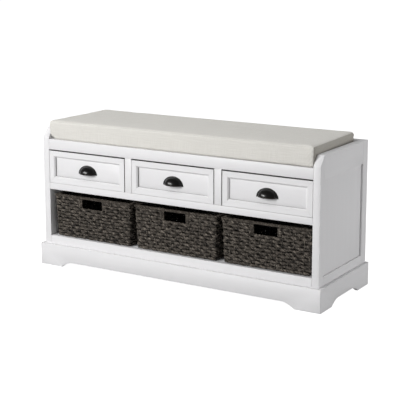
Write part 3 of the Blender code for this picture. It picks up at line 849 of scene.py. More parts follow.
def cup_pull(name, low, high):
    """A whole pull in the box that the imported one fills."""
    half, rise, reach = (high.x - low.x) / 2, high.z - low.z, high.y - low.y
    dome_half, dome_rise = half - FOOT_WIDTH, rise - FLANGE_WIDTH - LIP_RAISE
    shell, shell_faces = pull_dome(dome_half, dome_rise, reach - LIP_RADIUS * 0.4)
    dome = place_piece("dome", mesh_from("dome", [(shell + np.array([0, 0, LIP_RAISE]), shell_faces)]))
    wall = dome.modifiers.new("cast wall", "SOLIDIFY")
    wall.thickness = PULL_WALL
    wall.offset = -1
    apply_modifiers(dome)
    along = np.linspace(0.05, np.pi - 0.05, ARCH_STEPS + 1)
    lip_x = (dome_half - PULL_WALL / 2) * np.cos(along)
    lip_y = -(reach - LIP_RADIUS * 1.4) * np.sin(along) ** ARCH_FULLNESS
    lip = np.stack([lip_x, lip_y, np.full_like(along, LIP_RAISE + LIP_RADIUS * 0.5)], -1)
    parts = [tube(lip, LIP_RADIUS), flange_plate(half, rise, dome_half, dome_rise)]
    for side in (-1, 1):
        x = side * POST_SPACING / 2
        post = [(x, -depth * MM, POST_RAISE) for depth in (0, 3, 6, 9, 9.5)]
        radii = np.array([4.4, 3.7, 3.5, 3.5, 3.0]) * MM
        parts.append(tube(post, radii, 20))
        head = [(x, -depth * MM, POST_RAISE) for depth in (9.3, 10.2, 10.7, 10.9)]
        parts.append(tube(head, np.array([1.0, 1.0, 0.8, 0.4]) * SCREW_RADIUS, 16))
    rest = place_piece("rest", mesh_from("rest", parts))
    pull = join_pieces(name, [dome, rest])
    pull.data.materials.clear()
    pull.data.materials.append(bronze)
    points = mesh_points(pull.data)
    lip_nearness = 1 - np.clip((points[:, 2] - LIP_RAISE - LIP_RADIUS) / (2.5 * MM), 0, 1)
    front_nearness = np.clip((-points[:, 1] - 0.3 * reach) / (0.4 * reach), 0, 1)
    write_mark(pull.data, "handled", lip_nearness * front_nearness * 0.4)
    pull.location = ((low.x + high.x) / 2, high.y, low.z)
    pull.data.set_sharp_from_angle(angle=math.radians(38))
    return pull


for number in (1, 2, 3):
    node = f"drawer_{number}_cup_pull"
    low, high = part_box(node)
    pull = finish_piece(cup_pull(f"drawer_{number}_bronze_pull", low, high), node)
    print(pull.name, "faces:", len(pull.data.polygons))

# %% [markdown]
# ## Woven baskets
# The baskets are woven from a chunky two-ply rope, dyed dark brown, round a cage of welded wire. Thinner
# upright stakes stand round the wall, and each row of rope passes outside one stake and inside the next;
# the next row does the opposite, which is what gives the bumpy brick pattern with black gaps. Where a row
# turns inwards its rope is also painted darker, as painted shade that deepens those gaps. A flat
# picture of a weave would look right only from straight ahead, so the rope is really laid here: a row's
# path is bent round the stakes by a wave, and two plies turn about that path like a screw.

# %% Rope finish
rope, tree, shader = new_finish("dark dyed rope")
strand_place = read(tree, "strand_place").outputs["Vector"]
strand_tone_and_shade = read(tree, "strand_tone_and_shade").outputs["Fac"]
hair = use_group(tree, fibres, Place=strand_place, Hairs=1.0)
# The strand mark holds the rope's own random tone and the painted shade of the weave's inward turns.
dark_to_light = tint(tree, strand_tone_and_shade, shown(12, 10, 9), shown(71, 65, 59))
flecked = tint(tree, sum_up(tree, "POWER", hair["Tone"], 3.0), dark_to_light, shown(176, 165, 152))
tone = use_group(tree, drift, Place=strand_place, Lumps=16.0, Amount=0.5)["Value"]
gloss = spread(tree, hair["Height"], 0.3, 0.7, 0.62, 0.85)
dress(tree, shader, flecked, tone, gloss, bump(tree, hair["Height"], 0.7, 1.2 * MM))
shader.inputs["Specular IOR Level"].default_value = 0.35
print("rope nodes:", len(tree.nodes))

# %% Basket sizes
ROWS = 13
STAKE_COUNT = 62
STAKE_RADIUS = 1.9 * MM
PLY_RADIUS = 4.3 * MM
PLY_SPREAD = 1.0 * MM
ROPE_THIN = 0.62
WEAVE_SWING = 2.9 * MM
TWIST_LENGTH = 30 * MM
HOLLOW_SHADE = 0.30
BASKET_TAPER = 5.0 * MM
WALL_MIDDLE = 5.7 * MM
WALL_CORNER = 5.0 * MM
RIM_DROP = 5.4 * MM
FIRST_ROW = 6.2 * MM
TOP_ROW_DROP = 14.2 * MM
HOLE_WIDTH = 82 * MM
HOLE_HEIGHT = 31 * MM
HOLE_FROM_RIM = 9.5 * MM
EDGING = 2.6 * MM


def outline_round(width, depth, corner, turn):
    """Points and outward directions round a round-cornered rectangle; turn 0 is the middle of its front."""
    half_x, half_y = width / 2 - corner, depth / 2 - corner
    centres = [(half_x, -half_y), (half_x, half_y), (-half_x, half_y), (-half_x, -half_y)]
    points, outward = [(0, -depth / 2)], [(0, -1)]
    for quarter, (x, y) in enumerate(centres):
        for angle in np.linspace(quarter * np.pi / 2 - np.pi / 2, quarter * np.pi / 2, 13):
            points.append((x + corner * np.cos(angle), y + corner * np.sin(angle)))
            outward.append((np.cos(angle), np.sin(angle)))
    points.append((0, -depth / 2))
    outward.append((0, -1))
    points, outward = np.array(points), np.array(outward)
    reach = travelled(points)
    at = np.asarray(turn) % 1.0 * reach[-1]
    place = np.stack([np.interp(at, reach, points[:, i]) for i in (0, 1)], -1)
    out = np.stack([np.interp(at, reach, outward[:, i]) for i in (0, 1)], -1)
    return place, unit(out), reach[-1]


basket_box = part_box("basket_1_woven_shell")
around = outline_round(*(basket_box[1] - basket_box[0])[:2], WALL_CORNER, [0.0])[2]
print("once round the rim, mm:", round(around / MM))
print("stakes every, mm:", round(around / STAKE_COUNT / MM, 1))


# %% Laid rope
class Skein:
    """Collects strands of rope and turns them into one mesh with the marks that the rope finish reads."""

    def __init__(self, seed):
        self.random = np.random.default_rng(seed)
        self.points, self.faces, self.places, self.tones, self.count = [], [], [], [], 0

    def wander(self, steps, size, waves=5, closed=True):
        """A slow random drift along a strand, made of a few sine waves."""
        along = np.linspace(0, 1, steps, endpoint=not closed)
        total = np.zeros(steps)
        for wave in range(1, waves + 1):
            total += self.random.normal() * np.sin(2 * np.pi * (wave * along + self.random.random())) / wave
        return size * total / 1.2

    def by_hump(self, stakes_passed, size):
        """About 1, but a little different on each hump of the weave, with soft steps between humps."""
        humps = 1 + size * self.random.uniform(-1, 1, STAKE_COUNT + 16)
        return np.interp(stakes_passed % STAKE_COUNT, np.arange(len(humps)) - 0.5, humps)

    def lay(
        self, path, out, closed, radius, spread_by=0.0, twists=0.0, thin=1.0, sides=8, plies=2, tone=0.5
    ):
        """Lays one rope along a path; out is the direction that its thin side faces."""
        steps = len(path)
        ahead = heading(path, closed)
        side = unit(np.cross(ahead, out))
        facing = np.cross(side, ahead)
        gone = travelled(path)
        phase = 2 * np.pi * (twists * np.linspace(0, 1, steps, endpoint=not closed) + self.random.random())
        phase = phase + self.wander(steps, 0.5, 9, closed)
        turn = np.linspace(0, 2 * np.pi, sides, endpoint=False)
        for ply in range(plies):
            angle = phase + 2 * np.pi * ply / plies
            offset = spread_by if plies > 1 else 0.0
            aside = thin * np.cos(angle)[:, None] * facing + np.sin(angle)[:, None] * side
            middle = path + offset * aside
            swell = np.broadcast_to(radius, steps) * (1 + self.wander(steps, 0.05, 11, closed))
            ring_angle = angle[:, None] + turn[None, :]
            ring = (
                thin * np.cos(ring_angle)[..., None] * facing[:, None]
                + np.sin(ring_angle)[..., None] * side[:, None]
            )
            points = middle[:, None] + swell[:, None, None] * ring
            start = self.random.uniform(-9, 9, 3)
            places = np.stack(
                [
                    np.broadcast_to(gone[:, None] + start[0], ring_angle.shape),
                    swell[:, None] * np.cos(turn)[None, :] + start[1],
                    swell[:, None] * np.sin(turn)[None, :] + start[2],
                ],
                -1,
            )
            shade = np.clip(tone + self.random.normal() * 0.08 + self.wander(steps, 0.18, 40, closed), 0, 1)
            faces = grid_faces(steps, sides, closed, True)
            self.add(points.reshape(-1, 3), faces, places, np.repeat(shade, sides))
            if not closed:
                first, last = self.count - steps * sides, self.count - sides
                ends = [list(range(first, first + sides))[::-1], list(range(last, last + sides))]
                self.faces.append(ends)

    def add(self, points, faces, places, tones):
        """Keeps one strand, its faces counted on from the strands before it."""
        self.points.append(points)
        self.faces.append((faces + self.count).tolist())
        self.places.append(places.reshape(-1, 3))
        self.tones.append(tones)
        self.count += len(points)

    def to_piece(self, name, finish):
        """The mesh of all strands laid so far, as one smooth object."""
        mesh = bpy.data.meshes.new(name)
        faces = [face for group in self.faces for face in group]
        mesh.from_pydata(np.concatenate(self.points).tolist(), [], faces)
        write_mark(mesh, "strand_place", np.concatenate(self.places))
        write_mark(mesh, "strand_tone_and_shade", np.concatenate(self.tones))
        mesh.shade_smooth()
        mesh.materials.append(finish)
        return place_piece(name, mesh)


print("a rope is", round(2 * (PLY_RADIUS + PLY_SPREAD) / MM, 1), "mm tall")


# %% Basket wall
STEP = 2.7 * MM


def lean_at(level, height):
    """How far in from the rim the wall stands at a level, since a basket narrows towards its foot."""
    return BASKET_TAPER * (1 - level / height)


def wall_ring(size, height, from_bottom, inset, turn):
    """A ring round the basket wall at a height: points, outward directions and its length."""
    shrink = 2 * (lean_at(from_bottom, height) + inset)
    place, out, length = outline_round(size[0] - shrink, size[1] - shrink, WALL_CORNER, turn)
    points = np.column_stack([place, np.full(len(place), from_bottom)])
    return points, np.column_stack([out, np.zeros(len(out))]), length


def hole_span(height):
    """The lowest and highest level of the hand hole."""
    top = height - HOLE_FROM_RIM
    return top - HOLE_HEIGHT, top


def weave_wall(skein, size, height):
    """The rows of rope that go out and in round the stakes, with the hand hole left open at the front."""
    hole_low, hole_top = hole_span(height)
    pitch = (height - TOP_ROW_DROP - FIRST_ROW) / (ROWS - 1)
    for row in range(ROWS):
        level = FIRST_ROW + row * pitch
        length = wall_ring(size, height, level, WALL_MIDDLE, [0.0])[2]
        crosses_hole = hole_low - EDGING < level < hole_top + EDGING
        open_part = (HOLE_WIDTH / 2 + 7 * MM) / length if crosses_hole else 0
        steps = int((1 - 2 * open_part) * length / STEP)
        turn = np.linspace(open_part, 1 - open_part, steps, endpoint=crosses_hole)
        points, out, _ = wall_ring(size, height, level, WALL_MIDDLE, turn)
        stakes_passed = STAKE_COUNT * turn + row + 0.5
        wave = np.cos(np.pi * (stakes_passed + skein.wander(steps, 0.3, 18)))
        swing = WEAVE_SWING * np.sign(wave) * np.abs(wave) ** 0.8 * skein.by_hump(stakes_passed, 0.16)
        swing *= (0.3 if row == 0 else 1.0) * (1 - 0.6 * np.clip(4 * np.abs(out[:, 0] * out[:, 1]), 0, 1))
        points = points + out * swing[:, None]
        if row > 0:
            points[:, 2] += 0.6 * MM * (skein.by_hump(stakes_passed, 1.0) - 1)
        fat = 1 + 0.10 * wave + 0.08 * (skein.by_hump(stakes_passed, 1.0) - 1)
        twists = round((1 - 2 * open_part) * length / TWIST_LENGTH)
        # Painted shade: where the rope turns inwards behind a stake, HOLLOW_SHADE lowers its tone; the bottom
        # row is also laid darker.
        tone = (0.3 if row == 0 else 0.46) * skein.by_hump(stakes_passed, 0.42) + HOLLOW_SHADE * wave
        skein.lay(points, out, not crosses_hole, PLY_RADIUS * fat, PLY_SPREAD, twists, ROPE_THIN, tone=tone)


def stand_stakes(skein, size, height, top):
    """Upright stakes that the rows pass in and out of."""
    levels = np.linspace(1.5 * MM, top, 9)
    turns = np.arange(STAKE_COUNT) / STAKE_COUNT
    rings = [wall_ring(size, height, level, WALL_MIDDLE, turns) for level in levels]
    hole_low, hole_top = hole_span(height)
    for stake in range(STAKE_COUNT):
        path = np.array([ring[0][stake] for ring in rings])
        in_hole = abs(path[-1, 0]) < HOLE_WIDTH / 2 + 2 * MM and path[-1, 1] < 0
        spans = [(0, hole_low - EDGING), (hole_top + EDGING, top)] if in_hole else [(0, top)]
        for low, high in spans:
            heights = np.linspace(max(low, 1.5 * MM), high, 5)
            run = np.stack([np.interp(heights, levels, path[:, i]) for i in range(3)], -1)
            out = np.broadcast_to(rings[0][1][stake], run.shape)
            skein.lay(run, out, False, STAKE_RADIUS, sides=6, plies=1, tone=0.25)


print("rows of rope in a wall:", ROWS)


# %% Rim, hand hole and floor
RIM_ROPES = ((-2.6 * MM, 1), (3.4 * MM, -1))  # how far in from the wall's middle, and which way it is laid
RIM_STEP = 2.0 * MM
RIM_WOBBLE = 0.3 * MM
RIM_PLY = 2.2 * MM
RIM_PLY_SPREAD = 1.7 * MM
RIM_TWIST_LENGTH = 13 * MM
EDGING_PLY = 1.6 * MM
EDGING_PLY_SPREAD = 1.2 * MM
EDGING_TWIST_LENGTH = 10 * MM
WINDING_PITCH = 6.0 * MM
WINDING_RADIUS = 2.7 * MM
FLOOR_PITCH = 11 * MM
FLOOR_LEVEL = 5.0 * MM
FLOOR_SWING = 1.3 * MM
FLOOR_STAKES_EVERY = 20 * MM


def bind_rim(skein, size, height):
    """Two twisted ropes side by side along the top edge, laid in opposite directions."""
    for further_in, lay_way in RIM_ROPES:
        inset = WALL_MIDDLE + further_in
        level = height - RIM_DROP
        length = wall_ring(size, height, level, inset, [0.0])[2]
        steps = int(length / RIM_STEP)
        turn = np.linspace(0, 1, steps, endpoint=False)
        points, out, _ = wall_ring(size, height, level, inset, turn)
        points[:, 2] += skein.wander(steps, RIM_WOBBLE, 20)
        twists = lay_way * round(length / RIM_TWIST_LENGTH)
        skein.lay(points, out, True, RIM_PLY, RIM_PLY_SPREAD, twists, 0.85, tone=0.85)


def bind_hole(skein, size, height):
    """A twisted edging round the hand hole, and rope wound round the stakes at its two ends."""
    low, top = hole_span(height)
    turn = np.linspace(0, 1, 150, endpoint=False)
    edge, _, length = outline_round(HOLE_WIDTH + 2 * EDGING, HOLE_HEIGHT + 2 * EDGING, 5 * MM, turn)
    level = (low + top) / 2 + edge[:, 1]
    y = -size[1] / 2 + lean_at(level, height) + WALL_MIDDLE - 1.5 * MM
    points = np.column_stack([edge[:, 0], y, level])
    out = np.broadcast_to(np.array([0.0, -1.0, 0.0]), points.shape)
    twists = round(length / EDGING_TWIST_LENGTH)
    skein.lay(points, out, True, EDGING_PLY, EDGING_PLY_SPREAD, twists, 0.9, tone=0.9)
    for side in (-1, 1):
        turns = (HOLE_HEIGHT + 2 * EDGING) / WINDING_PITCH
        spin = np.linspace(0, 2 * np.pi * turns, 110)
        rise = np.linspace(low, top, len(spin))
        x = side * (HOLE_WIDTH / 2 + 2 * EDGING + 3.4 * MM) + 3.6 * MM * np.cos(spin)
        y = -size[1] / 2 + lean_at(rise, height) + WALL_MIDDLE + 3.0 * MM * np.sin(spin)
        axis = np.column_stack([np.cos(spin), np.sin(spin), np.zeros(len(spin))])
        skein.lay(np.column_stack([x, y, rise]), axis, False, WINDING_RADIUS, plies=1, tone=0.55)


def upward(points):
    """One upward direction for every point."""
    return np.broadcast_to(np.array([0.0, 0.0, 1.0]), points.shape)


def weave_floor(skein, size):
    """The woven base: ropes from side to side over stakes that run from front to back."""
    half_x = size[0] / 2 - BASKET_TAPER - WALL_MIDDLE
    half_y = size[1] / 2 - BASKET_TAPER - WALL_MIDDLE
    for row in range(int(2 * half_y / FLOOR_PITCH)):
        y = -half_y + (row + 0.7) * FLOOR_PITCH
        reach = half_x - (3 * MM if abs(y) > half_y - WALL_CORNER else 0)
        x = np.arange(-reach, reach, 4.0 * MM)
        lift = FLOOR_SWING * np.cos(np.pi * (x / FLOOR_STAKES_EVERY + row))
        points = np.column_stack([x, np.full(len(x), y), FLOOR_LEVEL + lift])
        twists = 2 * reach / TWIST_LENGTH
        skein.lay(points, upward(points), False, PLY_RADIUS, PLY_SPREAD, twists, 0.55, sides=6, tone=0.4)
    for x in np.arange(-half_x + 8 * MM, half_x, FLOOR_STAKES_EVERY):
        y = np.linspace(-half_y + 3 * MM, half_y - 3 * MM, 12)
        points = np.column_stack([np.full(len(y), x), y, np.full(len(y), FLOOR_LEVEL)])
        skein.lay(points, upward(points), False, 1.8 * MM, sides=6, plies=1)


def weave_basket(number):
    """The woven wall, rim and floor of one basket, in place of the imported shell."""
    node = f"basket_{number}_woven_shell"
    low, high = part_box(node)
    size, height = (high.x - low.x, high.y - low.y), high.z - low.z
    middle = Vector(((low.x + high.x) / 2, (low.y + high.y) / 2, low.z))
    wall = Skein(100 + number)
    weave_wall(wall, size, height)
    stand_stakes(wall, size, height, height - RIM_DROP - 1 * MM)
    trim = Skein(200 + number)
    bind_rim(trim, size, height)
    bind_hole(trim, size, height)
    base = Skein(300 + number)
    weave_floor(base, size)
    made = []
    for skein, part in ((wall, "woven_wall"), (trim, "bound_rim"), (base, "woven_floor")):
        piece = skein.to_piece(f"basket_{number}_{part}", rope)
        piece.location = middle
        made.append(finish_piece(piece, node))
    return made


for number in (1, 2, 3):
    made = weave_basket(number)
    print(f"basket {number}:", sum(len(piece.data.polygons) for piece in made), "faces")

# %% [markdown]
# ## Wire cages
# Inside each basket a welded cage of thin black wire keeps the soft rope square. It is bent from round
# rod with soft corners, two hoops and four uprights, so tubes swept along rounded outlines give it.

# %% Wire finish and cages
black_wire, tree, shader = new_finish("black coated wire")
place = add_node(tree, "ShaderNodeTexCoord").outputs["Object"]
speck = noise(tree, place, 1100.0, detail=2.0)
wire(tree, tint(tree, speck, shown(24, 24, 25), shown(38, 37, 37)), shader.inputs["Base Color"])
wire(tree, spread(tree, speck, 0.3, 0.7, 0.35, 0.55), shader.inputs["Roughness"])
wire(tree, bump(tree, speck, 0.25, 0.3 * MM), shader.inputs["Normal"])

WIRE_RADIUS = 1.9 * MM
WIRE_INSET = 7.6 * MM
CAGE_CORNER = 9 * MM


def bend_cage(number):
    """Two hoops and four leaning uprights inside one basket."""
    node = f"basket_{number}_wire_frame"
    low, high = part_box(node)
    middle = (low + high) / 2
    turn = np.linspace(0, 1, 120, endpoint=False)
    parts, hoops = [], []
    shell_low, shell_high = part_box(f"basket_{number}_woven_shell")
    for level in (low.z + WIRE_RADIUS + 3.5 * MM, high.z - 7.5 * MM):
        lean = lean_at(level - shell_low.z, shell_high.z - shell_low.z)
        inset = 2 * (lean + WALL_MIDDLE + WIRE_INSET)
        width, depth = shell_high.x - shell_low.x - inset, shell_high.y - shell_low.y - inset
        ring, _, _ = outline_round(width, depth, CAGE_CORNER, turn)
        parts.append(tube(np.column_stack([ring, np.full(len(ring), level)]), WIRE_RADIUS, 10, True))
        hoops.append((width / 2, depth / 2, level))
    (low_x, low_y, low_z), (top_x, top_y, top_z) = hoops
    ease = CAGE_CORNER * (1 - math.sqrt(0.5)) + WIRE_RADIUS
    for side in (-1, 1):
        for end in (-1, 1):
            foot = (side * (low_x - ease), end * (low_y - ease), low_z)
            head = (side * (top_x - ease), end * (top_y - ease), top_z)
            upright = np.linspace(foot, head, 6)
            parts.append(tube(upright, WIRE_RADIUS, 10, False, out=(side, -end, 0)))
    mesh = mesh_from(f"basket_{number}_wire_cage", parts)
    mesh.materials.append(black_wire)
    cage = place_piece(f"basket_{number}_wire_cage", mesh)
    cage.location = (middle.x, middle.y, 0)
    return finish_piece(cage, node)


for number in (1, 2, 3):
    print(bend_cage(number).name)

# %% [markdown]
# ## Seat cushion
# The seat is a loose box cushion: a slab of foam in a linen cover that is sewn from a top, a bottom and a
# band round the sides. The foam keeps it square, and the cover, cut a little tight, crowns over it and
# draws the long seams in between the corners. A subdivided cube could be pushed into that shape by hand,
# but cloth finds it by itself: a slightly small cover of square cells is blown up by a Cloth modifier
# with pressure and no gravity, and how far a point may travel is limited, as the foam would limit it.
# The seams, their puckers and the creases at the corners are finer than a cell, so they come afterwards.

# %% Linen finish
THREADS_PER_METRE = 1150.0
# GATHER spaces the dark stripes painted as the shade of small gathered folds at a corner.
GATHER = 4.6 * MM  # the small folds where the band is gathered at a corner

linen, tree, shader = new_finish("pale linen")
thread_place = read(tree, "thread_place").outputs["Vector"]
from_seam = read(tree, "from_seam").outputs["Fac"]
across = add_node(tree, "ShaderNodeSeparateXYZ")
wire(tree, thread_place, across.inputs[0])
wobble = sum_up(tree, "MULTIPLY", noise(tree, thread_place, 60.0), 1.2 * MM)
waves = []
for place in across.outputs[:2]:
    thread_turn = sum_up(tree, "MULTIPLY", sum_up(tree, "ADD", place, wobble), math.pi * THREADS_PER_METRE)
    waves.append(sum_up(tree, "SINE", thread_turn))
crossing = sum_up(tree, "MULTIPLY", *waves)
thread = sum_up(tree, "POWER", sum_up(tree, "ABSOLUTE", crossing), 0.6)
warp_slub = noise(tree, stretch(tree, thread_place, (900, 22, 1)), 1.0, detail=2.0)
weft_slub = noise(tree, stretch(tree, thread_place, (16, 420, 1)), 1.0, detail=2.0)
slub = sum_up(tree, "ADD", spread(tree, warp_slub, 0.3, 0.75), spread(tree, weft_slub, 0.3, 0.75))
hair = use_group(tree, fibres, Place=thread_place, Hairs=1.6)
tone = use_group(tree, drift, Place=thread_place, Lumps=7.0, Amount=0.05)["Value"]
yarn = tint(tree, sum_up(tree, "MULTIPLY", slub, 0.5), shown(247, 245, 239), shown(228, 225, 218))
# Painted shade: the hollows between the threads are painted darker.
thread_hollow_shade = sum_up(tree, "MULTIPLY", sum_up(tree, "SUBTRACT", 1.0, thread), 0.35)
woven = tint(tree, thread_hollow_shade, yarn, shown(196, 192, 184))
# Painted shade: the cover's end panels are painted darker, as on their side away from the light.
turned = sum_up(tree, "MULTIPLY", read(tree, "end_shade").outputs["Fac"], 0.7)
shaded = tint(tree, turned, woven, shown(164, 159, 149))
# Painted shade: near the right front corner, stripes of the end band are painted dark for small gathered
# folds that have no shape of their own.
fold_place = sum_up(tree, "MULTIPLY_ADD", wobble, 1.5, across.outputs[0])
fold_turn = sum_up(tree, "MULTIPLY", fold_place, 2 * math.pi / GATHER)
fold_wave = spread(tree, sum_up(tree, "SINE", fold_turn), -0.1, 0.9)
fold_shade_mask = sum_up(tree, "MULTIPLY", fold_wave, read(tree, "gather_fold_shade").outputs["Fac"])
fold_shaded = tint(tree, sum_up(tree, "MULTIPLY", fold_shade_mask, 0.7), shaded, shown(112, 106, 96))
# The cloth is painted darker within 1.6 mm of a seam.
darker_at_seams = tint(tree, spread(tree, from_seam, 0.0, 1.6 * MM, 0.4, 0.0), fold_shaded, shown(168, 163, 154))
gloss = spread(tree, hair["Height"], 0.3, 0.7, 0.8, 0.95)
relief = sum_up(tree, "MULTIPLY_ADD", slub, 0.35, thread)
hairy = sum_up(tree, "MULTIPLY_ADD", hair["Height"], 0.25, relief)
dress(tree, shader, darker_at_seams, tone, gloss, bump(tree, hairy, 0.55, 0.5 * MM))
shader.inputs["Specular IOR Level"].default_value = 0.2
shader.inputs["Sheen Weight"].default_value = 0.18
shader.inputs["Sheen Roughness"].default_value = 0.5
print("linen nodes:", len(tree.nodes), " thread pitch, mm:", round(1000 / THREADS_PER_METRE, 2))

# %% Cover before it is filled
CELL = 6.2 * MM
COVER_EDGE = 7.5 * MM
SWELL = 3.2 * MM
PULL_IN = Vector((6.0, 2.5, 0)) * MM
TOP_ROOM = Vector((0, 0, -1.0)) * MM
BACK_TUCK = 11.0 * MM


def cell_lines(length):
    """Where the cells of a panel are cut: close together at both seams, even between them."""
    near = np.array([0.0, 1.2 * MM, 4.8 * MM])
    between = np.linspace(9.5 * MM, length - 9.5 * MM, max(2, round((length - 19 * MM) / CELL) + 1))
    return np.concatenate([near, between, (length - near)[::-1]])


def cover_panel(low, size, axis, side, edge):
    """One panel of the cover: rounded points, square faces, threads' places and distances from seams."""
    along, up = [(1, 2), (0, 2), (0, 1)][axis]
    first, second = np.meshgrid(cell_lines(size[along]), cell_lines(size[up]), indexing="ij")
    flat = np.zeros((*first.shape, 3))
    flat[..., along], flat[..., up], flat[..., axis] = first, second, size[axis] * side
    core = np.clip(flat, edge, size - edge)
    lean = flat - core
    rounded = low + core + edge * lean / np.linalg.norm(lean, axis=-1)[..., None]
    # The band goes once round: front, right end, back and left end.
    starts = {(0, 1): size[0], (1, 1): size[0] + size[1], (0, 0): 2 * size[0] + size[1]}
    start = starts.get((axis, side), 0.0)
    turned = (axis, side) in ((1, 1), (0, 0))
    run = start + (size[along] - first if turned else first)
    seam = np.minimum(second, size[up] - second)
    if axis == 2:
        seam = np.minimum(seam, np.minimum(first, size[along] - first))
    elif axis == 1 and side == 1:
        seam = np.minimum(seam, np.minimum(first, size[along] - first))
    elif axis == 0:
        seam = np.minimum(seam, size[along] - first)
    place = np.stack([run, second, np.zeros_like(run)], -1)
    return rounded.reshape(-1, 3), grid_faces(*first.shape), place.reshape(-1, 3), seam.ravel()


def sew_cover(name, low, high, edge):
    """Six panels joined at their borders; each face corner keeps its place on its own panel's weave."""
    low, size = np.array(low), np.array(high) - np.array(low)
    points, faces, places, seams, count = [], [], [], [], 0
    for axis in range(3):
        for side in (0, 1):
            panel, squares, place, seam = cover_panel(low, size, axis, side, edge)
            points.append(panel)
            faces.append(squares + count)
            places.append(place)
            seams.append(seam)
            count += len(panel)
    faces = np.concatenate(faces)
    mesh = bpy.data.meshes.new(name)
    mesh.from_pydata(np.concatenate(points).tolist(), [], faces.tolist())
    corners = np.empty(len(mesh.loops), np.int32)
    mesh.loops.foreach_get("vertex_index", corners)
    write_mark(mesh, "thread_place", np.concatenate(places)[corners], "CORNER")
    write_mark(mesh, "from_seam", np.concatenate(seams))
    turn_outwards(mesh, 0.05 * MM)
    mesh.shade_smooth()
    mesh.materials.append(linen)
    return place_piece(name, mesh)


cushion_low, cushion_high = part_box("seat_cushion")
cushion = sew_cover(
    "linen_seat_cushion",
    cushion_low - PULL_IN,
    cushion_high + PULL_IN - TOP_ROOM,
    COVER_EDGE,
)
print("cover cells:", len(cushion.data.polygons))

# %% Fill the cover
PRESSURE = 4.0
FILL_FRAMES = 20


def fill_cover(piece, pressure, frames, limit):
    """Blows a cover up as cloth; returns the points before and after, with the travel softly limited."""
    before = mesh_points(piece.data).astype(float)
    cloth = piece.modifiers.new("cover", "CLOTH")
    cloth.settings.quality = 5
    cloth.settings.mass = 0.3
    cloth.settings.tension_stiffness = 25
    cloth.settings.compression_stiffness = 25
    cloth.settings.bending_stiffness = 4
    cloth.settings.use_pressure = True
    cloth.settings.uniform_pressure_force = pressure
    cloth.settings.effector_weights.gravity = 0
    cloth.point_cache.frame_start = 1
    cloth.point_cache.frame_end = frames
    for frame_number in range(1, frames + 1):
        bpy.context.scene.frame_set(frame_number)
    apply_modifiers(piece)
    bpy.context.scene.frame_set(1)
    travel = mesh_points(piece.data) - before
    length = np.linalg.norm(travel, axis=1)[:, None] + 1e-9
    return before, before + travel * (limit * np.tanh(length / limit) / length)


def move_points(piece, points):
    """Puts every point of a piece somewhere else."""
    piece.data.vertices.foreach_set("co", np.ascontiguousarray(points, np.float32).ravel())
    piece.data.update()


soft_ends = mesh_points(cushion.data).astype(float)
depth_share = (soft_ends[:, 1] - cushion_low.y) / (cushion_high.y - cushion_low.y)
near_right_end = np.clip(soft_ends[:, 0] / cushion_high.x, 0, 1) ** 4
soft_ends[:, 0] -= BACK_TUCK * depth_share * near_right_end
move_points(cushion, soft_ends)
before, after = fill_cover(cushion, PRESSURE, FILL_FRAMES, SWELL)
print("most a point moved, mm:", round(float(np.linalg.norm(after - before, axis=1).max()) / MM, 1))

# %% Keep it on the seat and between the ends
FRAME_CLEARANCE = 0.4 * MM
OVERHANG = 4.0 * MM
OVERHANG_RISE = 10.0 * MM

end_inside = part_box("right_front_stile")[0].x - FRAME_CLEARANCE
back_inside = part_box("back_top_rail")[0].y - FRAME_CLEARANCE
end_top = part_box("right_front_stile")[1].z + FRAME_CLEARANCE


def keep_clear(points):
    """Holds points on the seat, between the end frames and before the back rail, free only above them."""
    over = np.clip((points[:, 2] - end_top) / OVERHANG_RISE, 0, 1)
    side_limit = end_inside + OVERHANG * np.sin(over * np.pi / 2)
    points[:, 2] = np.maximum(points[:, 2], cushion_low.z)
    points[:, 0] = np.clip(points[:, 0], -side_limit, side_limit)
    points[:, 1] = np.minimum(points[:, 1], back_inside)
    return points


move_points(cushion, keep_clear(after))
smoother = cushion.modifiers.new("finer", "SUBSURF")
smoother.levels = smoother.render_levels = 1
apply_modifiers(cushion)
print("cushion faces:", len(cushion.data.polygons))

# %% Seams, puckers and corner creases
SEAM_PULL = 1.0 * MM
SEAM_HALF_WIDTH = 1.3 * MM
PUCKER = 0.45 * MM
PUCKER_SPACING = 13 * MM
PUCKER_REACH = 7 * MM
CREASE = 1.8 * MM
CREASE_SPACING = 11.5 * MM
CREASE_MIDDLE = 9 * MM
CREASE_REACH = 24 * MM
CORNER_LIFT = np.array([9, 2, 5]) * MM  # the lower left front corner stands off the rail
LIFT_REACH = np.array([13, 40, 15]) * MM
GATHER_REACH = 17 * MM

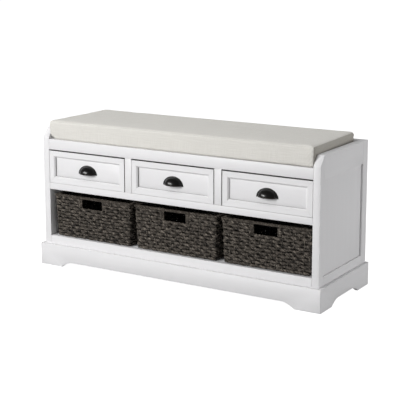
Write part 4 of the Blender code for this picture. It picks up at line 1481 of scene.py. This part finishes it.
points = mesh_points(cushion.data).astype(float)
normals = np.empty(len(points) * 3, np.float32)
cushion.data.vertices.foreach_get("normal", normals)
normals = normals.reshape(-1, 3)
seam_gap = np.empty(len(points), np.float32)
cushion.data.attributes["from_seam"].data.foreach_get("value", seam_gap)
sewing = np.random.default_rng(31)
run = points[:, 0] + 1.3 * points[:, 1]
phase = 0
for length in (0.09, 0.17, 0.31):
    phase = phase + sewing.normal() * np.sin(2 * np.pi * run / length + sewing.uniform(0, 6))
pucker = 0.5 + 0.5 * np.sin(2 * np.pi * run / PUCKER_SPACING + 1.5 * phase)
push = -SEAM_PULL * np.exp(-((seam_gap / SEAM_HALF_WIDTH) ** 2))
push -= PUCKER * pucker * np.exp(-seam_gap / PUCKER_REACH) * (1 - np.exp(-seam_gap / (1 * MM)))
high_middle = (cushion_low.z + cushion_high.z) / 2
for corner_x in (cushion_low.x, cushion_high.x):
    for corner_y in (cushion_low.y, cushion_high.y):
        gap = np.hypot(points[:, 0] - corner_x, points[:, 1] - corner_y)
        beside = np.abs(normals[:, 2]) < 0.75
        slant = 0.8 * sewing.choice((-1, 1))
        run = gap + slant * (points[:, 2] - high_middle)
        ridge = np.sin(2 * np.pi * run / CREASE_SPACING + sewing.uniform(0, 6))
        push += CREASE / 2 * ridge * beside * np.exp(-((gap - CREASE_MIDDLE) / CREASE_REACH) ** 2)
points += normals * push[:, None]
from_corner = (points - np.array(cushion_low)) / LIFT_REACH
lift = np.exp(-(from_corner ** 2).sum(1))
points += lift[:, None] * CORNER_LIFT
move_points(cushion, keep_clear(points))
# Painted shade: faces turned to the ends are marked for the darker end colour.
end_turn = np.clip((np.abs(normals[:, 0]) - 0.6) / 0.25, 0, 1)
write_mark(cushion.data, "end_shade", end_turn)
# Painted shade: this mark places the dark fold stripes near the right front corner.
right_front = np.hypot(points[:, 0] - cushion_high.x, points[:, 1] - cushion_low.y)
write_mark(cushion.data, "gather_fold_shade", np.exp(-((right_front / GATHER_REACH) ** 2)) * end_turn)
finish_piece(cushion, "seat_cushion")
print("cushion from, mm:", (points.min(0) / MM).round(1), "to, mm:", (points.max(0) / MM).round(1))
